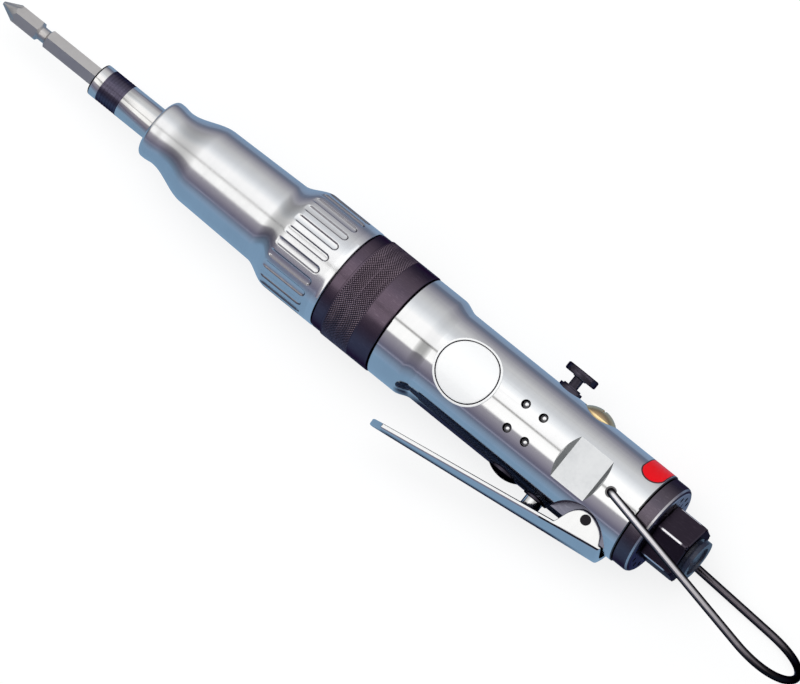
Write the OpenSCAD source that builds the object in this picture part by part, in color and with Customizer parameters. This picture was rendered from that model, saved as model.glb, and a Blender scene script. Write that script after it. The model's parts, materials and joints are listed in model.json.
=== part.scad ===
// Hand-held pneumatic screwdriver with a lever throttle, a push-through reversing valve,
// an epicyclic reduction, a spring-loaded ball clutch and a quick-change bit chuck.
// Lengths are millimetres. The spindle axis is the X axis, with x = 0 at the chuck's front
// face; the bit points to -X and the air inlet to +X. The lever is on the -Y side, the
// reversing knob on the +Y side, and the badge faces +Z.

/* [Bit] */
// Width across the flats of the bit's hexagon
bit_af = 6.35; // [6.25:0.05:6.4]
// Whole length of the double-ended bit
bit_length = 65; // [63:0.5:67]
// Length of the bit's point, from its tip to where its flats are whole
bit_point_length = 5.7; // [5:0.1:6.5]
// Radius of the blunt tip of the bit's point
bit_tip_r = 0.55; // [0.4:0.05:0.7]
// Radius of the bit at the bottom of its grooves
bit_groove_r = 2.35; // [2.3:0.05:2.4]
// Width of the floor of the bit's grooves
bit_groove_w = 2.6; // [2.4:0.1:2.8]
// Distance from the middle of a groove to the nearer end of the bit
bit_groove_from_end = 17.3; // [17:0.1:17.8]

/* [Chuck] */
// Radius of the spindle's chuck end
chuck_r = 4.35; // [4.33:0.01:4.37]
// Outer radius of the chuck's sleeve
sleeve_r = 5.75; // [5.7:0.05:6]
// Length of the chuck's sleeve
sleeve_length = 25; // [24:0.2:27]
// How far the sleeve is pushed forward to free the bit
sleeve_travel = 2.6; // [2.5:0.1:2.8]
// Distance from the sleeve's front face to the ball that holds the bit
ball_x = 7.5; // [7.2:0.1:7.8]
// Radius of the ball that holds the bit
chuck_ball_r = 0.95; // [0.93:0.01:0.96]
// Distance from the sleeve's front face to its black band
band_from = 3.6; // [3.3:0.1:4]
// Length of the sleeve's black band
band_length = 8.1; // [7.5:0.1:9]

/* [Nose] */
// Length of the nose's lip, from its front face to the waist
nose_lip_length = 5.8; // [5:0.1:7]
// Length of the taper from the waist to the barrel
taper_length = 15.3; // [14:0.1:17]
// Length of the barrel
barrel_length = 30.7; // [29:0.1:36]
// Length of the shoulder between the barrel and the fluted grip
shoulder_length = 7.8; // [7:0.1:9]
// Length of the fluted grip
nose_grip_length = 19.9; // [19:0.1:22]
// Radius of the nose at its waist
nose_waist_r = 10.2; // [10:0.1:10.6]
// Radius of the barrel at its front
barrel_r = 14.1; // [13.9:0.1:14.4]
// Radius of the barrel at its rear
barrel_rear_r = 14.8; // [14.6:0.1:15.2]
// Radius of the fluted grip
nose_grip_r = 18.3; // [18.1:0.1:18.5]
// Number of flutes round the grip
flute_count = 24; // [18:1:28]
// Length of each flute
flute_length = 17; // [14:0.2:18]
// Width of each flute
flute_w = 2.6; // [2:0.1:3]
// Depth of each flute
flute_depth = 0.55; // [0.3:0.05:0.8]

/* [Collar] */
// Outer radius of the knurled collar
collar_r = 18.55; // [18.3:0.05:19]
// Length of the knurled collar
collar_length = 23; // [22:0.1:26]
// Length of the collar's lower front step
collar_step_length = 3.9; // [3:0.1:4.5]
// How much lower the front step is than the collar
collar_step_drop = 0.35; // [0.2:0.05:0.5]

/* [Handle] */
// Length of the handle housing
handle_length = 99.2; // [99:0.1:102]
// Radius of the handle's front flange
flange_r = 18.3; // [18.1:0.1:18.6]
// Length of the handle's front flange
flange_length = 10.5; // [9:0.1:11.5]
// Radius of the handle's grip
grip_r = 16.7; // [16.6:0.05:16.9]
// Thickness of the grip's wall round the motor
grip_wall = 2.7; // [2.6:0.05:2.8]
// Distance of each spanner flat from the spindle axis
flat_height = 14.75; // [14.6:0.05:15.2]
// Length of each spanner flat
flat_length = 13; // [12:0.1:14.2]
// Radius of the badge
badge_r = 11.3; // [10:0.1:11.7]
// Thickness of the badge
badge_t = 0.45; // [0.3:0.05:0.8]

/* [Lever] */
// How far the lever closes, in degrees
lever_travel = 7.5; // [6.5:0.25:7.5]
// Outer width of the lever at its ears
lever_rear_w = 17; // [16.8:0.1:17.6]
// Outer width of the lever at its tip
lever_tip_w = 11.6; // [10:0.2:13]
// Thickness of the lever's sheet
lever_t = 1.3; // [1.1:0.05:1.4]
// Radius of the lever's pin
lever_pin_r = 1.75; // [1.5:0.05:1.9]

/* [Valves] */
// Radius of the throttle plunger
plunger_r = 3.15; // [3:0.05:3.2]
// Radius of the brass valve plug
valve_plug_r = 6.5; // [6.3:0.1:6.6]
// Radius of the reversing knob's disc
knob_r = 5.85; // [5.4:0.05:6.4]
// Thickness of the reversing knob's disc
knob_t = 2.6; // [2.2:0.1:2.8]
// Distance from the spindle axis to the top of the knob
knob_height = 24.2; // [23.6:0.1:24.4]
// How far the reversing knob is pushed in
reverse_travel = 3; // [2.6:0.1:3]

/* [Inlet] */
// Width across the flats of the inlet bushing's hexagon
inlet_af = 19; // [18.6:0.1:20]
// Length of the inlet bushing's hexagon
inlet_hex_length = 12.1; // [11.6:0.1:14]
// Radius of the inlet's thread
inlet_thread_r = 5.9; // [5.7:0.05:6.1]
// Length of the inlet's thread
inlet_thread_length = 11.5; // [10:0.1:12]
// Length of the rear cap
cap_length = 6.2; // [6:0.1:8]
// Outer radius of the rear cap
cap_r = 16.3; // [16.1:0.1:16.6]
// Radius of the dust plug's disc
plug_disc_r = 7.3; // [7:0.1:8.2]

/* [Bail] */
// Radius of the bail's wire
bail_wire_r = 1.35; // [1.1:0.05:1.4]
// Distance from the bail's pivot to the far end of its loop
bail_length = 80.5; // [70:0.5:85]

/* [Hidden] */
$fn = 96;

// One overrun for every cut, and the clearances that the fits are made with
cut = 1;
press_gap = 0.01;
run_gap = 0.05;
seat_gap = 0.1;
loose_gap = 0.3;
hex_sides = 6;
curve_steps = 8;
corner_steps = 4;
dome_steps = 8;
o_ring_r = 0.6;

// Stations of the outer pieces along the spindle axis
nose_gap = 0.4;
bit_to = ball_x + bit_groove_from_end;
bit_reach = bit_length - bit_to;
band_to = band_from + band_length;
nose_from = sleeve_length + nose_gap;
waist_x = nose_from + nose_lip_length;
barrel_from = waist_x + taper_length;
barrel_to = barrel_from + barrel_length;
nose_grip_from = barrel_to + shoulder_length;
nose_to = nose_grip_from + nose_grip_length;
collar_from = nose_to + loose_gap;
collar_to = collar_from + collar_length;
handle_from = collar_to + loose_gap;
handle_to = handle_from + handle_length;
cap_from = handle_to + loose_gap;
cap_to = cap_from + cap_length;

// Body of revolution about the X axis, from [radius, x] points
module turned(points) {
  rotate([0, 90, 0]) rotate_extrude() polygon(points);
}

// Body of revolution about a line along Y at the place x, from [radius, y] points
module cross_turned(x, points) {
  translate([x, 0, 0]) rotate([-90, 0, 0]) rotate_extrude() polygon(points);
}

// Round rod and tube along the X axis
module rod(r, x0, x1) {
  translate([x0, 0, 0]) rotate([0, 90, 0]) cylinder(r = r, h = x1 - x0);
}
module tube(r_out, r_in, x0, x1) {
  difference() {
    rod(r_out, x0, x1);
    rod(r_in, x0 - cut, x1 + cut);
  }
}

// Hexagonal rod along the X axis, with two of its edges at the top and the bottom
function corner_r(af) = af / sqrt(3);
module hex_rod(af, x0, x1) {
  translate([x0, 0, 0]) rotate([0, 90, 0])
    cylinder(r = corner_r(af), h = x1 - x0, $fn = hex_sides);
}

// Round rods along the Y axis and along the Z axis
module cross_rod(r, x, y0, y1) {
  translate([x, y0, 0]) rotate([-90, 0, 0]) cylinder(r = r, h = y1 - y0);
}
module upright_rod(r, x, y, z0, z1) {
  translate([x, y, z0]) cylinder(r = r, h = z1 - z0);
}

// Copies spaced round the X axis
module around(count) {
  for (k = [0 : count - 1]) rotate([k * 360 / count, 0, 0]) children();
}

// S-curve as [radius, x] points, without its first point
function ease(t) = t * t * (3 - 2 * t);
function s_curve(x0, r0, x1, r1) =
  [for (k = [1 : curve_steps]) let (t = k / curve_steps)
    [r0 + (r1 - r0) * ease(t), x0 + (x1 - x0) * t]];

// Rounded front corner as [radius, x] points, from the face to the outside
function round_corner(x_face, r_out, corner) =
  [for (k = [0 : corner_steps]) let (a = 90 * k / corner_steps)
    [r_out - corner * (1 - sin(a)), x_face + corner * (1 - cos(a))]];

// Dome as [radius, height] points, from its rim to its top
function dome(r, rim, top) =
  let (rise = top - rim, ball = (r * r + rise * rise) / (2 * rise), span = asin(r / ball))
  [for (k = [0 : dome_steps]) let (a = span * (1 - k / dome_steps))
    [ball * sin(a), top - ball * (1 - cos(a))]];

// Closed tube through rings of points, each ring with the same number of sides
function tube_faces(rings, sides) = concat(
  [for (i = [0 : rings - 2], k = [0 : sides - 1])
    [i * sides + k, (i + 1) * sides + (k + 1) % sides, i * sides + (k + 1) % sides]],
  [for (i = [0 : rings - 2], k = [0 : sides - 1])
    [i * sides + k, (i + 1) * sides + k, (i + 1) * sides + (k + 1) % sides]],
  [for (k = [1 : sides - 2]) [0, k, k + 1]],
  [for (k = [1 : sides - 2]) let (last = (rings - 1) * sides) [last, last + k + 1, last + k]]
);
function unit(v) = v / norm(v);
function wire_ring(centre, along, out, r, sides) =
  let (side = cross(along, out))
  [for (k = [0 : sides - 1]) let (a = 360 * k / sides)
    centre + r * (cos(a) * out + sin(a) * side)];

// Coil spring: one unbroken tube wound about the X axis, with its own least gap
spring_sides = 6;
rings_per_turn = 12;
function coil_centre(r, x0, x1, turns, t) =
  let (a = 360 * turns * t) [x0 + (x1 - x0) * t, r * cos(a), r * sin(a)];
function coil_along(r, x0, x1, turns, t) =
  let (a = 360 * turns * t, sweep = 2 * PI * turns * r)
  unit([x1 - x0, -sweep * sin(a), sweep * cos(a)]);
function coil_points(r, wire, x0, x1, turns) =
  let (rings = rings_per_turn * turns)
  [for (i = [0 : rings]) let (t = i / rings, a = 360 * turns * t)
    each wire_ring(coil_centre(r, x0 + wire, x1 - wire, turns, t),
      coil_along(r, x0 + wire, x1 - wire, turns, t), [0, cos(a), sin(a)], wire, spring_sides)];
module coil_spring(r, wire, x0, x1, turns) {
  polyhedron(coil_points(r, wire, x0, x1, turns),
    tube_faces(rings_per_turn * turns + 1, spring_sides), convexity = 2 * turns);
}
function coil_gap(r, wire, x0, x1, turns) =
  let (points = coil_points(r, wire, x0, x1, turns), skip = rings_per_turn * spring_sides)
  min([for (i = [0 : len(points) - skip - 1], k = [-spring_sides : spring_sides])
    if (i + k >= 0 && i + k + skip < len(points)) norm(points[i + k + skip] - points[i])]);

// Bit: a hexagon turned down at its points and grooves, with four flutes in each point
point_flute_count = 4;
point_flute_r = 1.7;
point_web = 0.5;
point_flute_slope = 24;
groove_flank = 1;
function groove_points(x) = [
  [corner_r(bit_af), x - bit_groove_w / 2 - groove_flank],
  [bit_groove_r, x - bit_groove_w / 2], [bit_groove_r, x + bit_groove_w / 2],
  [corner_r(bit_af), x + bit_groove_w / 2 + groove_flank]
];
point_full_length = bit_point_length * corner_r(bit_af) / (bit_af / 2);
module point_flutes() {
  rotate([180 / point_flute_count, 0, 0]) around(point_flute_count)
    translate([0, 0, point_flute_r + point_web]) rotate([0, 90 - point_flute_slope, 0])
      translate([0, 0, -bit_point_length])
        cylinder(r = point_flute_r, h = 4 * bit_point_length);
}
module bit() {
  color("dimgray") difference() {
    intersection() {
      hex_rod(bit_af, -bit_reach - cut, bit_to + cut);
      turned(concat(
        [[0, -bit_reach], [bit_tip_r, -bit_reach]],
        [[corner_r(bit_af), point_full_length - bit_reach]],
        groove_points(bit_groove_from_end - bit_reach),
        groove_points(ball_x),
        [[corner_r(bit_af), bit_to - point_full_length]],
        [[bit_tip_r, bit_to], [0, bit_to]]
      ));
    }
    translate([-bit_reach, 0, 0]) point_flutes();
    translate([bit_to, 0, 0]) mirror([1, 0, 0]) point_flutes();
  }
}

// Spindle: the chuck's hexagon socket, a journal, a thread and the clutch's hexagon shaft
socket_recess = 0.8;
socket_af = bit_af + 2 * run_gap;
journal_r = 5.5;
journal_from = sleeve_length + run_gap;
nose_lip_t = 1.6;
bush_length = 10.8;
bush_from = nose_from + nose_lip_t;
bush_to = bush_from + bush_length;
thrust_r = 7.6;
thrust_t = 3;
thrust_from = bush_to + run_gap;
thrust_to = thrust_from + thrust_t;
nut_setback = 9;
nut_length = 6;
nut_from = thrust_to + nut_setback;
nut_to = nut_from + nut_length;
thread_runout = 2;
clutch_af = 9.4;
pilot_r = 3;
pilot_length = 6;
snap_groove_r = 3.95;
snap_setback = 0.4;
snap_t = 0.6;
snap_from = socket_recess + snap_setback;
ball_centre_r = bit_groove_r + run_gap / 2 + chuck_ball_r;
module spindle() {
  color("silver") difference() {
    union() {
      rod(chuck_r, socket_recess, journal_from + cut);
      rod(journal_r, journal_from, thrust_from + cut);
      rod(thrust_r, thrust_from, thrust_to);
      rod(journal_r, thrust_to - cut, nut_to + thread_runout);
      hex_rod(clutch_af, nut_to + thread_runout, driven_cam_to);
      rod(pilot_r, driven_cam_to - cut, driven_cam_to + pilot_length);
    }
    hex_rod(socket_af, socket_recess - cut, bit_to + seat_gap);
    cross_rod(chuck_ball_r + run_gap, ball_x, 0, chuck_r + cut);
    tube(chuck_r + cut, snap_groove_r, snap_from, snap_from + snap_t);
  }
}

// Ball that drops into the bit's groove through the wall of the chuck
module retaining_ball() {
  color("white") translate([ball_x, ball_centre_r, 0]) sphere(r = chuck_ball_r);
}

// Sleeve: its inner cone lets the ball out as it is pushed forward
ball_rise = bit_af / 2 + run_gap - bit_groove_r;
sleeve_slope = atan(ball_rise / sleeve_travel);
sleeve_bore_r = chuck_r + run_gap;
cone_r_at_ball = ball_centre_r + (chuck_ball_r + run_gap) / cos(sleeve_slope);
cone_from = ball_x + (sleeve_bore_r - cone_r_at_ball) / tan(sleeve_slope);
cone_to_r = cone_r_at_ball + ball_rise;
cone_to = ball_x + sleeve_travel;
guide_from = cone_to + sleeve_travel;
guide_lead = 0.9;
spring_room_r = 5.15;
spring_room_setback = 1.2;
spring_room_to = ball_x - spring_room_setback;
band_depth = 0.2;
band_wall_r = sleeve_r - band_depth;
sleeve_edge = 0.6;
sleeve_rear_edge = 0.3;
module chuck_sleeve() {
  color("lightgray") turned(concat(
    [[spring_room_r, 0]],
    round_corner(0, sleeve_r, sleeve_edge),
    [[sleeve_r, band_from], [band_wall_r, band_from], [band_wall_r, band_to]],
    [[sleeve_r, band_to], [sleeve_r, sleeve_length - sleeve_rear_edge]],
    [[sleeve_r - sleeve_rear_edge, sleeve_length], [sleeve_bore_r, sleeve_length]],
    [[sleeve_bore_r, guide_from], [cone_to_r, guide_from - guide_lead], [cone_to_r, cone_to]],
    [[sleeve_bore_r, cone_from], [sleeve_bore_r, spring_room_to]],
    [[spring_room_r, spring_room_to]]
  ));
}

// Black band in the sleeve's groove, with shallow rings for the fingers
band_ring_count = 7;
band_ring_depth = 0.1;
module sleeve_band() {
  ring_w = band_length / (2 * band_ring_count + 1);
  color("black") difference() {
    tube(sleeve_r, band_wall_r, band_from, band_to);
    for (k = [1 : band_ring_count])
      tube(sleeve_r + cut, sleeve_r - band_ring_depth,
        band_from + (2 * k - 1) * ring_w, band_from + 2 * k * ring_w);
  }
}

// Spring that pushes the sleeve back, and the washer and snap ring that it stands on
sleeve_wire_r = 0.2;
sleeve_turns = 2;
washer_t = 0.5;
washer_from = snap_from + snap_t;
washer_to = washer_from + washer_t;
module sleeve_spring() {
  color("gray") coil_spring((spring_room_r + chuck_r) / 2, sleeve_wire_r,
    washer_to + run_gap, spring_room_to - run_gap, sleeve_turns);
}
module sleeve_retainer() {
  color("darkgray") {
    tube(spring_room_r - seat_gap, snap_groove_r + run_gap, snap_from + run_gap,
      washer_from - run_gap);
    tube(spring_room_r - run_gap, chuck_r + run_gap, washer_from, washer_to);
  }
}

// Nose housing: lip, waist, barrel and fluted grip in one piece, hollow for the clutch
nose_corner = 1.5;
lip_rise = 0.35;
lip_crest_length = 2.4;
nose_rear_edge = 0.3;
bush_r = 7.5;
clutch_room_r = 11.7;
clutch_room_neck_r = 8.7;
clutch_room_cone = 8;
cam_room_r = 15.1;
cam_room_cone = 4;
case_thread_r = 15.6;
case_thread_length = 10;
case_from = nose_to - case_thread_length;
cam_room_from = barrel_to + shoulder_length / 3;
flute_runout = 1.8;
flute_angle = 3;
flute_from = nose_grip_from - flute_runout;
flute_to = flute_from + flute_length;
module flute() {
  floor_r = nose_grip_r - flute_depth;
  translate([flute_from, -flute_w / 2, floor_r])
    cube([flute_length - flute_w / 2, flute_w, flute_depth + cut]);
  upright_rod(flute_w / 2, flute_to - flute_w / 2, 0, floor_r, nose_grip_r + cut);
}
module nose_housing() {
  color("gainsboro") difference() {
    turned(concat(
      [[0, nose_from]],
      round_corner(nose_from, nose_waist_r + lip_rise, nose_corner),
      [[nose_waist_r + lip_rise, nose_from + lip_crest_length]],
      s_curve(nose_from + lip_crest_length, nose_waist_r + lip_rise, waist_x, nose_waist_r),
      s_curve(waist_x, nose_waist_r, barrel_from, barrel_r),
      [[barrel_rear_r, barrel_to]],
      s_curve(barrel_to, barrel_rear_r, nose_grip_from, nose_grip_r),
      [[nose_grip_r, nose_to - nose_rear_edge], [nose_grip_r - nose_rear_edge, nose_to]],
      [[0, nose_to]]
    ));
    turned([
      [0, nose_from - cut], [journal_r + loose_gap, nose_from - cut],
      [journal_r + loose_gap, bush_from], [bush_r + press_gap, bush_from],
      [bush_r + press_gap, bush_to], [clutch_room_neck_r, bush_to],
      [clutch_room_r, bush_to + clutch_room_cone], [clutch_room_r, cam_room_from],
      [cam_room_r, cam_room_from + cam_room_cone], [cam_room_r, case_from],
      [case_thread_r + press_gap, case_from], [case_thread_r + press_gap, nose_to + cut],
      [0, nose_to + cut]
    ]);
    rotate([-flute_angle, 0, 0]) around(flute_count) flute();
  }
}

// Bronze bush that carries the spindle's journal
module front_bush() {
  color("peru") tube(bush_r, journal_r + run_gap, bush_from, bush_to);
}

// Clutch: adjusting nut, spring, driven cam and the balls between the two cams
nut_r = 10.6;
nut_notch_count = 6;
nut_notch_w = 3;
nut_notch_depth = 1.6;
cam_r = 11.2;
cam_setback = 3.9;
drive_cam_t = 5;
driven_cam_t = 5;
cam_gap = 1.4;
drive_cam_to = case_from - cam_setback;
drive_cam_from = drive_cam_to - drive_cam_t;
driven_cam_to = drive_cam_from - cam_gap;
driven_cam_from = driven_cam_to - driven_cam_t;
clutch_wire_r = 1.1;
clutch_turns = 6;
clutch_coil_r = 8;
clutch_ball_r = 2.2;
clutch_ball_count = 3;
clutch_ball_place = 7.8;
module clutch_adjusting_nut() {
  color("darkslategray") difference() {
    tube(nut_r, journal_r + press_gap, nut_from, nut_to);
    around(nut_notch_count) translate([nut_from - cut, -nut_notch_w / 2, nut_r - nut_notch_depth])
      cube([nut_length + 2 * cut, nut_notch_w, nut_notch_depth + cut]);
  }
}
module clutch_spring() {
  color("gray") coil_spring(clutch_coil_r, clutch_wire_r, nut_to + run_gap,
    driven_cam_from - run_gap, clutch_turns);
}
module clutch_ball_set(r) {
  around(clutch_ball_count)
    translate([driven_cam_to + cam_gap / 2, 0, clutch_ball_place]) sphere(r = r);
}
module clutch_driven_cam() {
  color("slategray") difference() {
    rod(cam_r, driven_cam_from, driven_cam_to);
    hex_rod(clutch_af + 2 * run_gap, driven_cam_from - cut, driven_cam_to + cut);
    clutch_ball_set(clutch_ball_r + run_gap);
  }
}
module clutch_balls() {
  color("white") clutch_ball_set(clutch_ball_r);
}

// Teeth of one module, shared by the sun pinion, the planet gears and the ring gear
tooth_module = 0.6;
sun_teeth = 12;
planet_teeth = 15;
ring_teeth = sun_teeth + 2 * planet_teeth;
planet_count = 3;
pressure_angle = 20;
tooth_lash = 0.06;
tooth_height = 0.54;
tooth_root = 0.75;
flank_steps = 4;
planet_centre_r = tooth_module * (sun_teeth + planet_teeth) / 2;
function involute(a) = tan(a) * 180 / PI - a;
function half_tooth(teeth, lash, r) =
  let (pitch_r = teeth * tooth_module / 2)
  90 / teeth - lash / pitch_r * 90 / PI + involute(pressure_angle)
  - involute(acos(min(1, pitch_r * cos(pressure_angle) / r)));
function on_circle(r, a) = [r * cos(a), r * sin(a)];
// Gear outline whose first tooth points to -X
function gear_points(teeth, height, root, lash) =
  let (
    pitch_r = teeth * tooth_module / 2,
    flank_r = max(pitch_r * cos(pressure_angle), pitch_r - root),
    step = (pitch_r + height - flank_r) / flank_steps
  )
  [for (k = [0 : teeth - 1], side = [-1, 1], i = [0 : flank_steps + 1])
    let (
      order = side < 0 ? i : flank_steps + 1 - i,
      r = flank_r + max(0, order - 1) * step,
      a = 180 + 360 * k / teeth + side * half_tooth(teeth, lash, r)
    )
    on_circle(order == 0 ? pitch_r - root : r, a)];
// Toothed rod along X whose first tooth points to +Z
module toothed_rod(teeth, height, root, lash, x0, x1) {
  translate([x0, 0, 0]) rotate([0, 90, 0])
    linear_extrude(x1 - x0) polygon(gear_points(teeth, height, root, lash));
}

// Planet carrier: drive cam, shaft and plate in one piece, with three pins in the plate
carrier_shaft_r = 6;
carrier_plate_r = 11;
carrier_plate_t = 4;
carrier_plate_gap = 3;
case_lip_t = 3.1;
bearing_w = 6;
bearing_r = 12;
planet_pin_r = 1.5;
planet_w = 12;
bearing_from = case_from + case_lip_t;
bearing_to = bearing_from + bearing_w;
carrier_plate_from = bearing_to + carrier_plate_gap;
carrier_plate_to = carrier_plate_from + carrier_plate_t;
planet_from = carrier_plate_to + loose_gap;
planet_to = planet_from + planet_w;
module planet_carrier() {
  color("slategray") difference() {
    union() {
      rod(cam_r, drive_cam_from, drive_cam_to);
      rod(carrier_shaft_r, drive_cam_to - cut, carrier_plate_from + cut);
      rod(carrier_plate_r, carrier_plate_from, carrier_plate_to);
    }
    clutch_ball_set(clutch_ball_r + run_gap);
    rod(pilot_r + run_gap, drive_cam_from - cut, carrier_plate_to + cut);
    around(planet_count) translate([0, 0, planet_centre_r])
      rod(planet_pin_r + press_gap, carrier_plate_from - cut, carrier_plate_to + cut);
  }
}
module planet_pins() {
  color("lightgray") around(planet_count) translate([0, 0, planet_centre_r])
    rod(planet_pin_r, carrier_plate_from, planet_to + loose_gap);
}
module planet_gear(place) {
  color("tan") rotate([place * 360 / planet_count, 0, 0]) translate([0, 0, planet_centre_r])
    difference() {
      toothed_rod(planet_teeth, tooth_height, tooth_root, tooth_lash, planet_from, planet_to);
      rod(planet_pin_r + run_gap, planet_from - cut, planet_to + cut);
    }
}
module planet_gear_a() { planet_gear(0); }
module planet_gear_b() { planet_gear(1); }
module planet_gear_c() { planet_gear(2); }

// Ball bearing: two grooved rings and the balls between them
bearing_ball_count = 9;
bearing_ring_share = 0.3;
bearing_ball_share = 0.35;
module ball_bearing(r_in, r_out, x0, w) {
  ring_t = (r_out - r_in) * bearing_ring_share;
  ball_r = (r_out - r_in) * bearing_ball_share;
  mid_r = (r_out + r_in) / 2;
  mid_x = x0 + w / 2;
  difference() {
    union() {
      tube(r_out, r_out - ring_t, x0, x0 + w);
      tube(r_in + ring_t, r_in, x0, x0 + w);
    }
    translate([mid_x, 0, 0]) rotate([0, 90, 0])
      rotate_extrude() translate([mid_r, 0]) circle(r = ball_r + run_gap);
  }
  around(bearing_ball_count) translate([mid_x, 0, mid_r]) sphere(r = ball_r);
}
module carrier_bearing() {
  color("lightsteelblue")
    ball_bearing(carrier_shaft_r + run_gap, bearing_r, bearing_from, bearing_w);
}

// Gear case: joins the nose to the handle and holds the bearing, the ring gear and a spacer
collar_wall = 2.45;
case_rear_step = 0.9;
case_wall = 1;
case_r = collar_r - collar_wall;
case_rear_r = case_r - case_rear_step;
case_rear_length = 6.2;
case_to = handle_from + case_rear_length;
ring_r = case_rear_r - case_wall;
ring_from = planet_from - seat_gap;
ring_to = planet_to + loose_gap;
spacer_t = 1.5;
module gear_case() {
  color("dimgray") turned([
    [cam_r + loose_gap, case_from], [case_thread_r, case_from], [case_thread_r, nose_to],
    [case_r, nose_to], [case_r, handle_from], [case_rear_r, handle_from],
    [case_rear_r, case_to], [ring_r + press_gap, case_to], [ring_r + press_gap, ring_from],
    [carrier_plate_r + loose_gap, ring_from], [carrier_plate_r + loose_gap, bearing_to],
    [bearing_r + press_gap, bearing_to], [bearing_r + press_gap, bearing_from],
    [cam_r + loose_gap, bearing_from]
  ]);
}
module ring_gear() {
  color("slategray") translate([ring_from, 0, 0]) rotate([0, 90, 0])
    linear_extrude(ring_to - ring_from) difference() {
      circle(r = ring_r);
      polygon(gear_points(ring_teeth, tooth_root, tooth_height, -tooth_lash));
    }
}
module gear_spacer() {
  color("lightslategray") tube(ring_r, ring_r - spacer_t, ring_to, case_to);
}

// Knurled collar that turns round the gear case
collar_edge = 0.5;
knurl_lead = 0.6;
knurl_setback = 6.6;
knurl_count = 60;
knurl_w = 0.6;
knurl_depth = 0.3;
knurl_from = collar_from + collar_step_length + knurl_lead;
knurl_to = collar_to - knurl_setback;
module knurled_collar() {
  step_r = collar_r - collar_step_drop;
  bore_r = case_r + run_gap;
  color("#3b2c2a") difference() {
    turned([
      [bore_r, collar_from], [step_r - collar_edge, collar_from],
      [step_r, collar_from + collar_edge], [step_r, collar_from + collar_step_length],
      [collar_r, collar_from + collar_step_length], [collar_r, collar_to - collar_edge],
      [collar_r - collar_edge, collar_to], [bore_r, collar_to]
    ]);
    around(knurl_count) translate([knurl_from, 0, collar_r - knurl_depth])
      rotate([45, 0, 0]) cube([knurl_to - knurl_from, knurl_w, knurl_w]);
  }
}

// Air motor: rotor with its pinion and four vanes in an off-centre cylinder
motor_bore_r = grip_r - grip_wall;
rotor_r_share = 0.7143;
rotor_r = motor_bore_r * rotor_r_share;
rotor_offset = 1;
rotor_tip_gap = 0.12;
rotor_end_gap = 0.1;
cylinder_length = 27;
plate_t = 6.4;
motor_bearing_w = 5;
front_journal_r = 4.5;
rear_journal_r = 3;
front_bearing_r_share = 0.607;
rear_bearing_r_share = 0.464;
front_bearing_r = motor_bore_r * front_bearing_r_share;
rear_bearing_r = motor_bore_r * rear_bearing_r_share;
rotor_shaft_r = 3.6;
vane_count = 4;
vane_t = 1.6;
vane_depth = 5.6;
port_r = 1.2;
port_angle = 50;
port_count = 5;
motor_r = motor_bore_r - press_gap;
front_plate_from = case_to + seat_gap;
cylinder_from = front_plate_from + plate_t;
cylinder_to = cylinder_from + cylinder_length;
rear_plate_to = cylinder_to + plate_t;
module rotor() {
  color("silver") difference() {
    union() {
      toothed_rod(sun_teeth, tooth_height, tooth_root, tooth_lash, planet_from + seat_gap, ring_to);
      rod(rotor_shaft_r, ring_to, front_plate_from);
      rod(front_journal_r, front_plate_from, cylinder_from + rotor_end_gap);
      rod(rotor_r, cylinder_from + rotor_end_gap, cylinder_to - rotor_end_gap);
      rod(rear_journal_r, cylinder_to - rotor_end_gap, rear_plate_to);
    }
    around(vane_count)
      translate([cylinder_from, -vane_t / 2 - run_gap, rotor_r - vane_depth - run_gap])
        cube([cylinder_length, vane_t + 2 * run_gap, vane_depth + cut]);
  }
}
module rotor_vanes() {
  color("sienna") intersection() {
    around(vane_count)
      translate([cylinder_from + rotor_end_gap, -vane_t / 2, rotor_r - vane_depth])
        cube([cylinder_length - 2 * rotor_end_gap, vane_t, vane_depth]);
    rod(rotor_r, cylinder_from, cylinder_to);
  }
}
module motor_cylinder() {
  color("darkgray") difference() {
    rod(motor_r, cylinder_from, cylinder_to);
    translate([0, 0, rotor_offset])
      rod(rotor_r + rotor_offset + rotor_tip_gap, cylinder_from - cut, cylinder_to + cut);
    for (side = [-1, 1], k = [1 : port_count]) rotate([side * port_angle, 0, 0])
      upright_rod(port_r, cylinder_from + k * cylinder_length / (port_count + 1), 0,
        rotor_r, motor_bore_r + cut);
  }
}
module front_end_plate() {
  color("lightslategray") difference() {
    rod(motor_r, front_plate_from, cylinder_from);
    rod(front_journal_r + run_gap, front_plate_from, cylinder_from + cut);
    rod(front_bearing_r + press_gap, front_plate_from - cut, front_plate_from + motor_bearing_w);
  }
}
module rear_end_plate() {
  color("lightslategray") difference() {
    rod(motor_r, cylinder_to, rear_plate_to);
    rod(rear_journal_r + run_gap, cylinder_to - cut, rear_plate_to);
    rod(rear_bearing_r + press_gap, rear_plate_to - motor_bearing_w, rear_plate_to + cut);
  }
}
module rotor_front_bearing() {
  color("lightsteelblue") ball_bearing(front_journal_r + run_gap, front_bearing_r,
    front_plate_from, motor_bearing_w);
}
module rotor_rear_bearing() {
  color("lightsteelblue") ball_bearing(rear_journal_r + run_gap, rear_bearing_r,
    rear_plate_to - motor_bearing_w, motor_bearing_w);
}

// Places of the valves, the lever pin, the bail pivot and the badge, counted from the rear edge
reverse_setback = 44.5;
throttle_setback = 31.3;
flat_setback = 29.1;
lever_pin_setback = 12.8;
bail_setback = 10.5;
badge_setback = 70.4;
reverse_x = handle_to - reverse_setback;
throttle_x = handle_to - throttle_setback;
flat_from = handle_to - flat_setback;
lever_pin_x = handle_to - lever_pin_setback;
lever_pin_y = -11.8;
bail_x = handle_to - bail_setback;
badge_x = handle_to - badge_setback;
badge_angle = 4;

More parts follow.
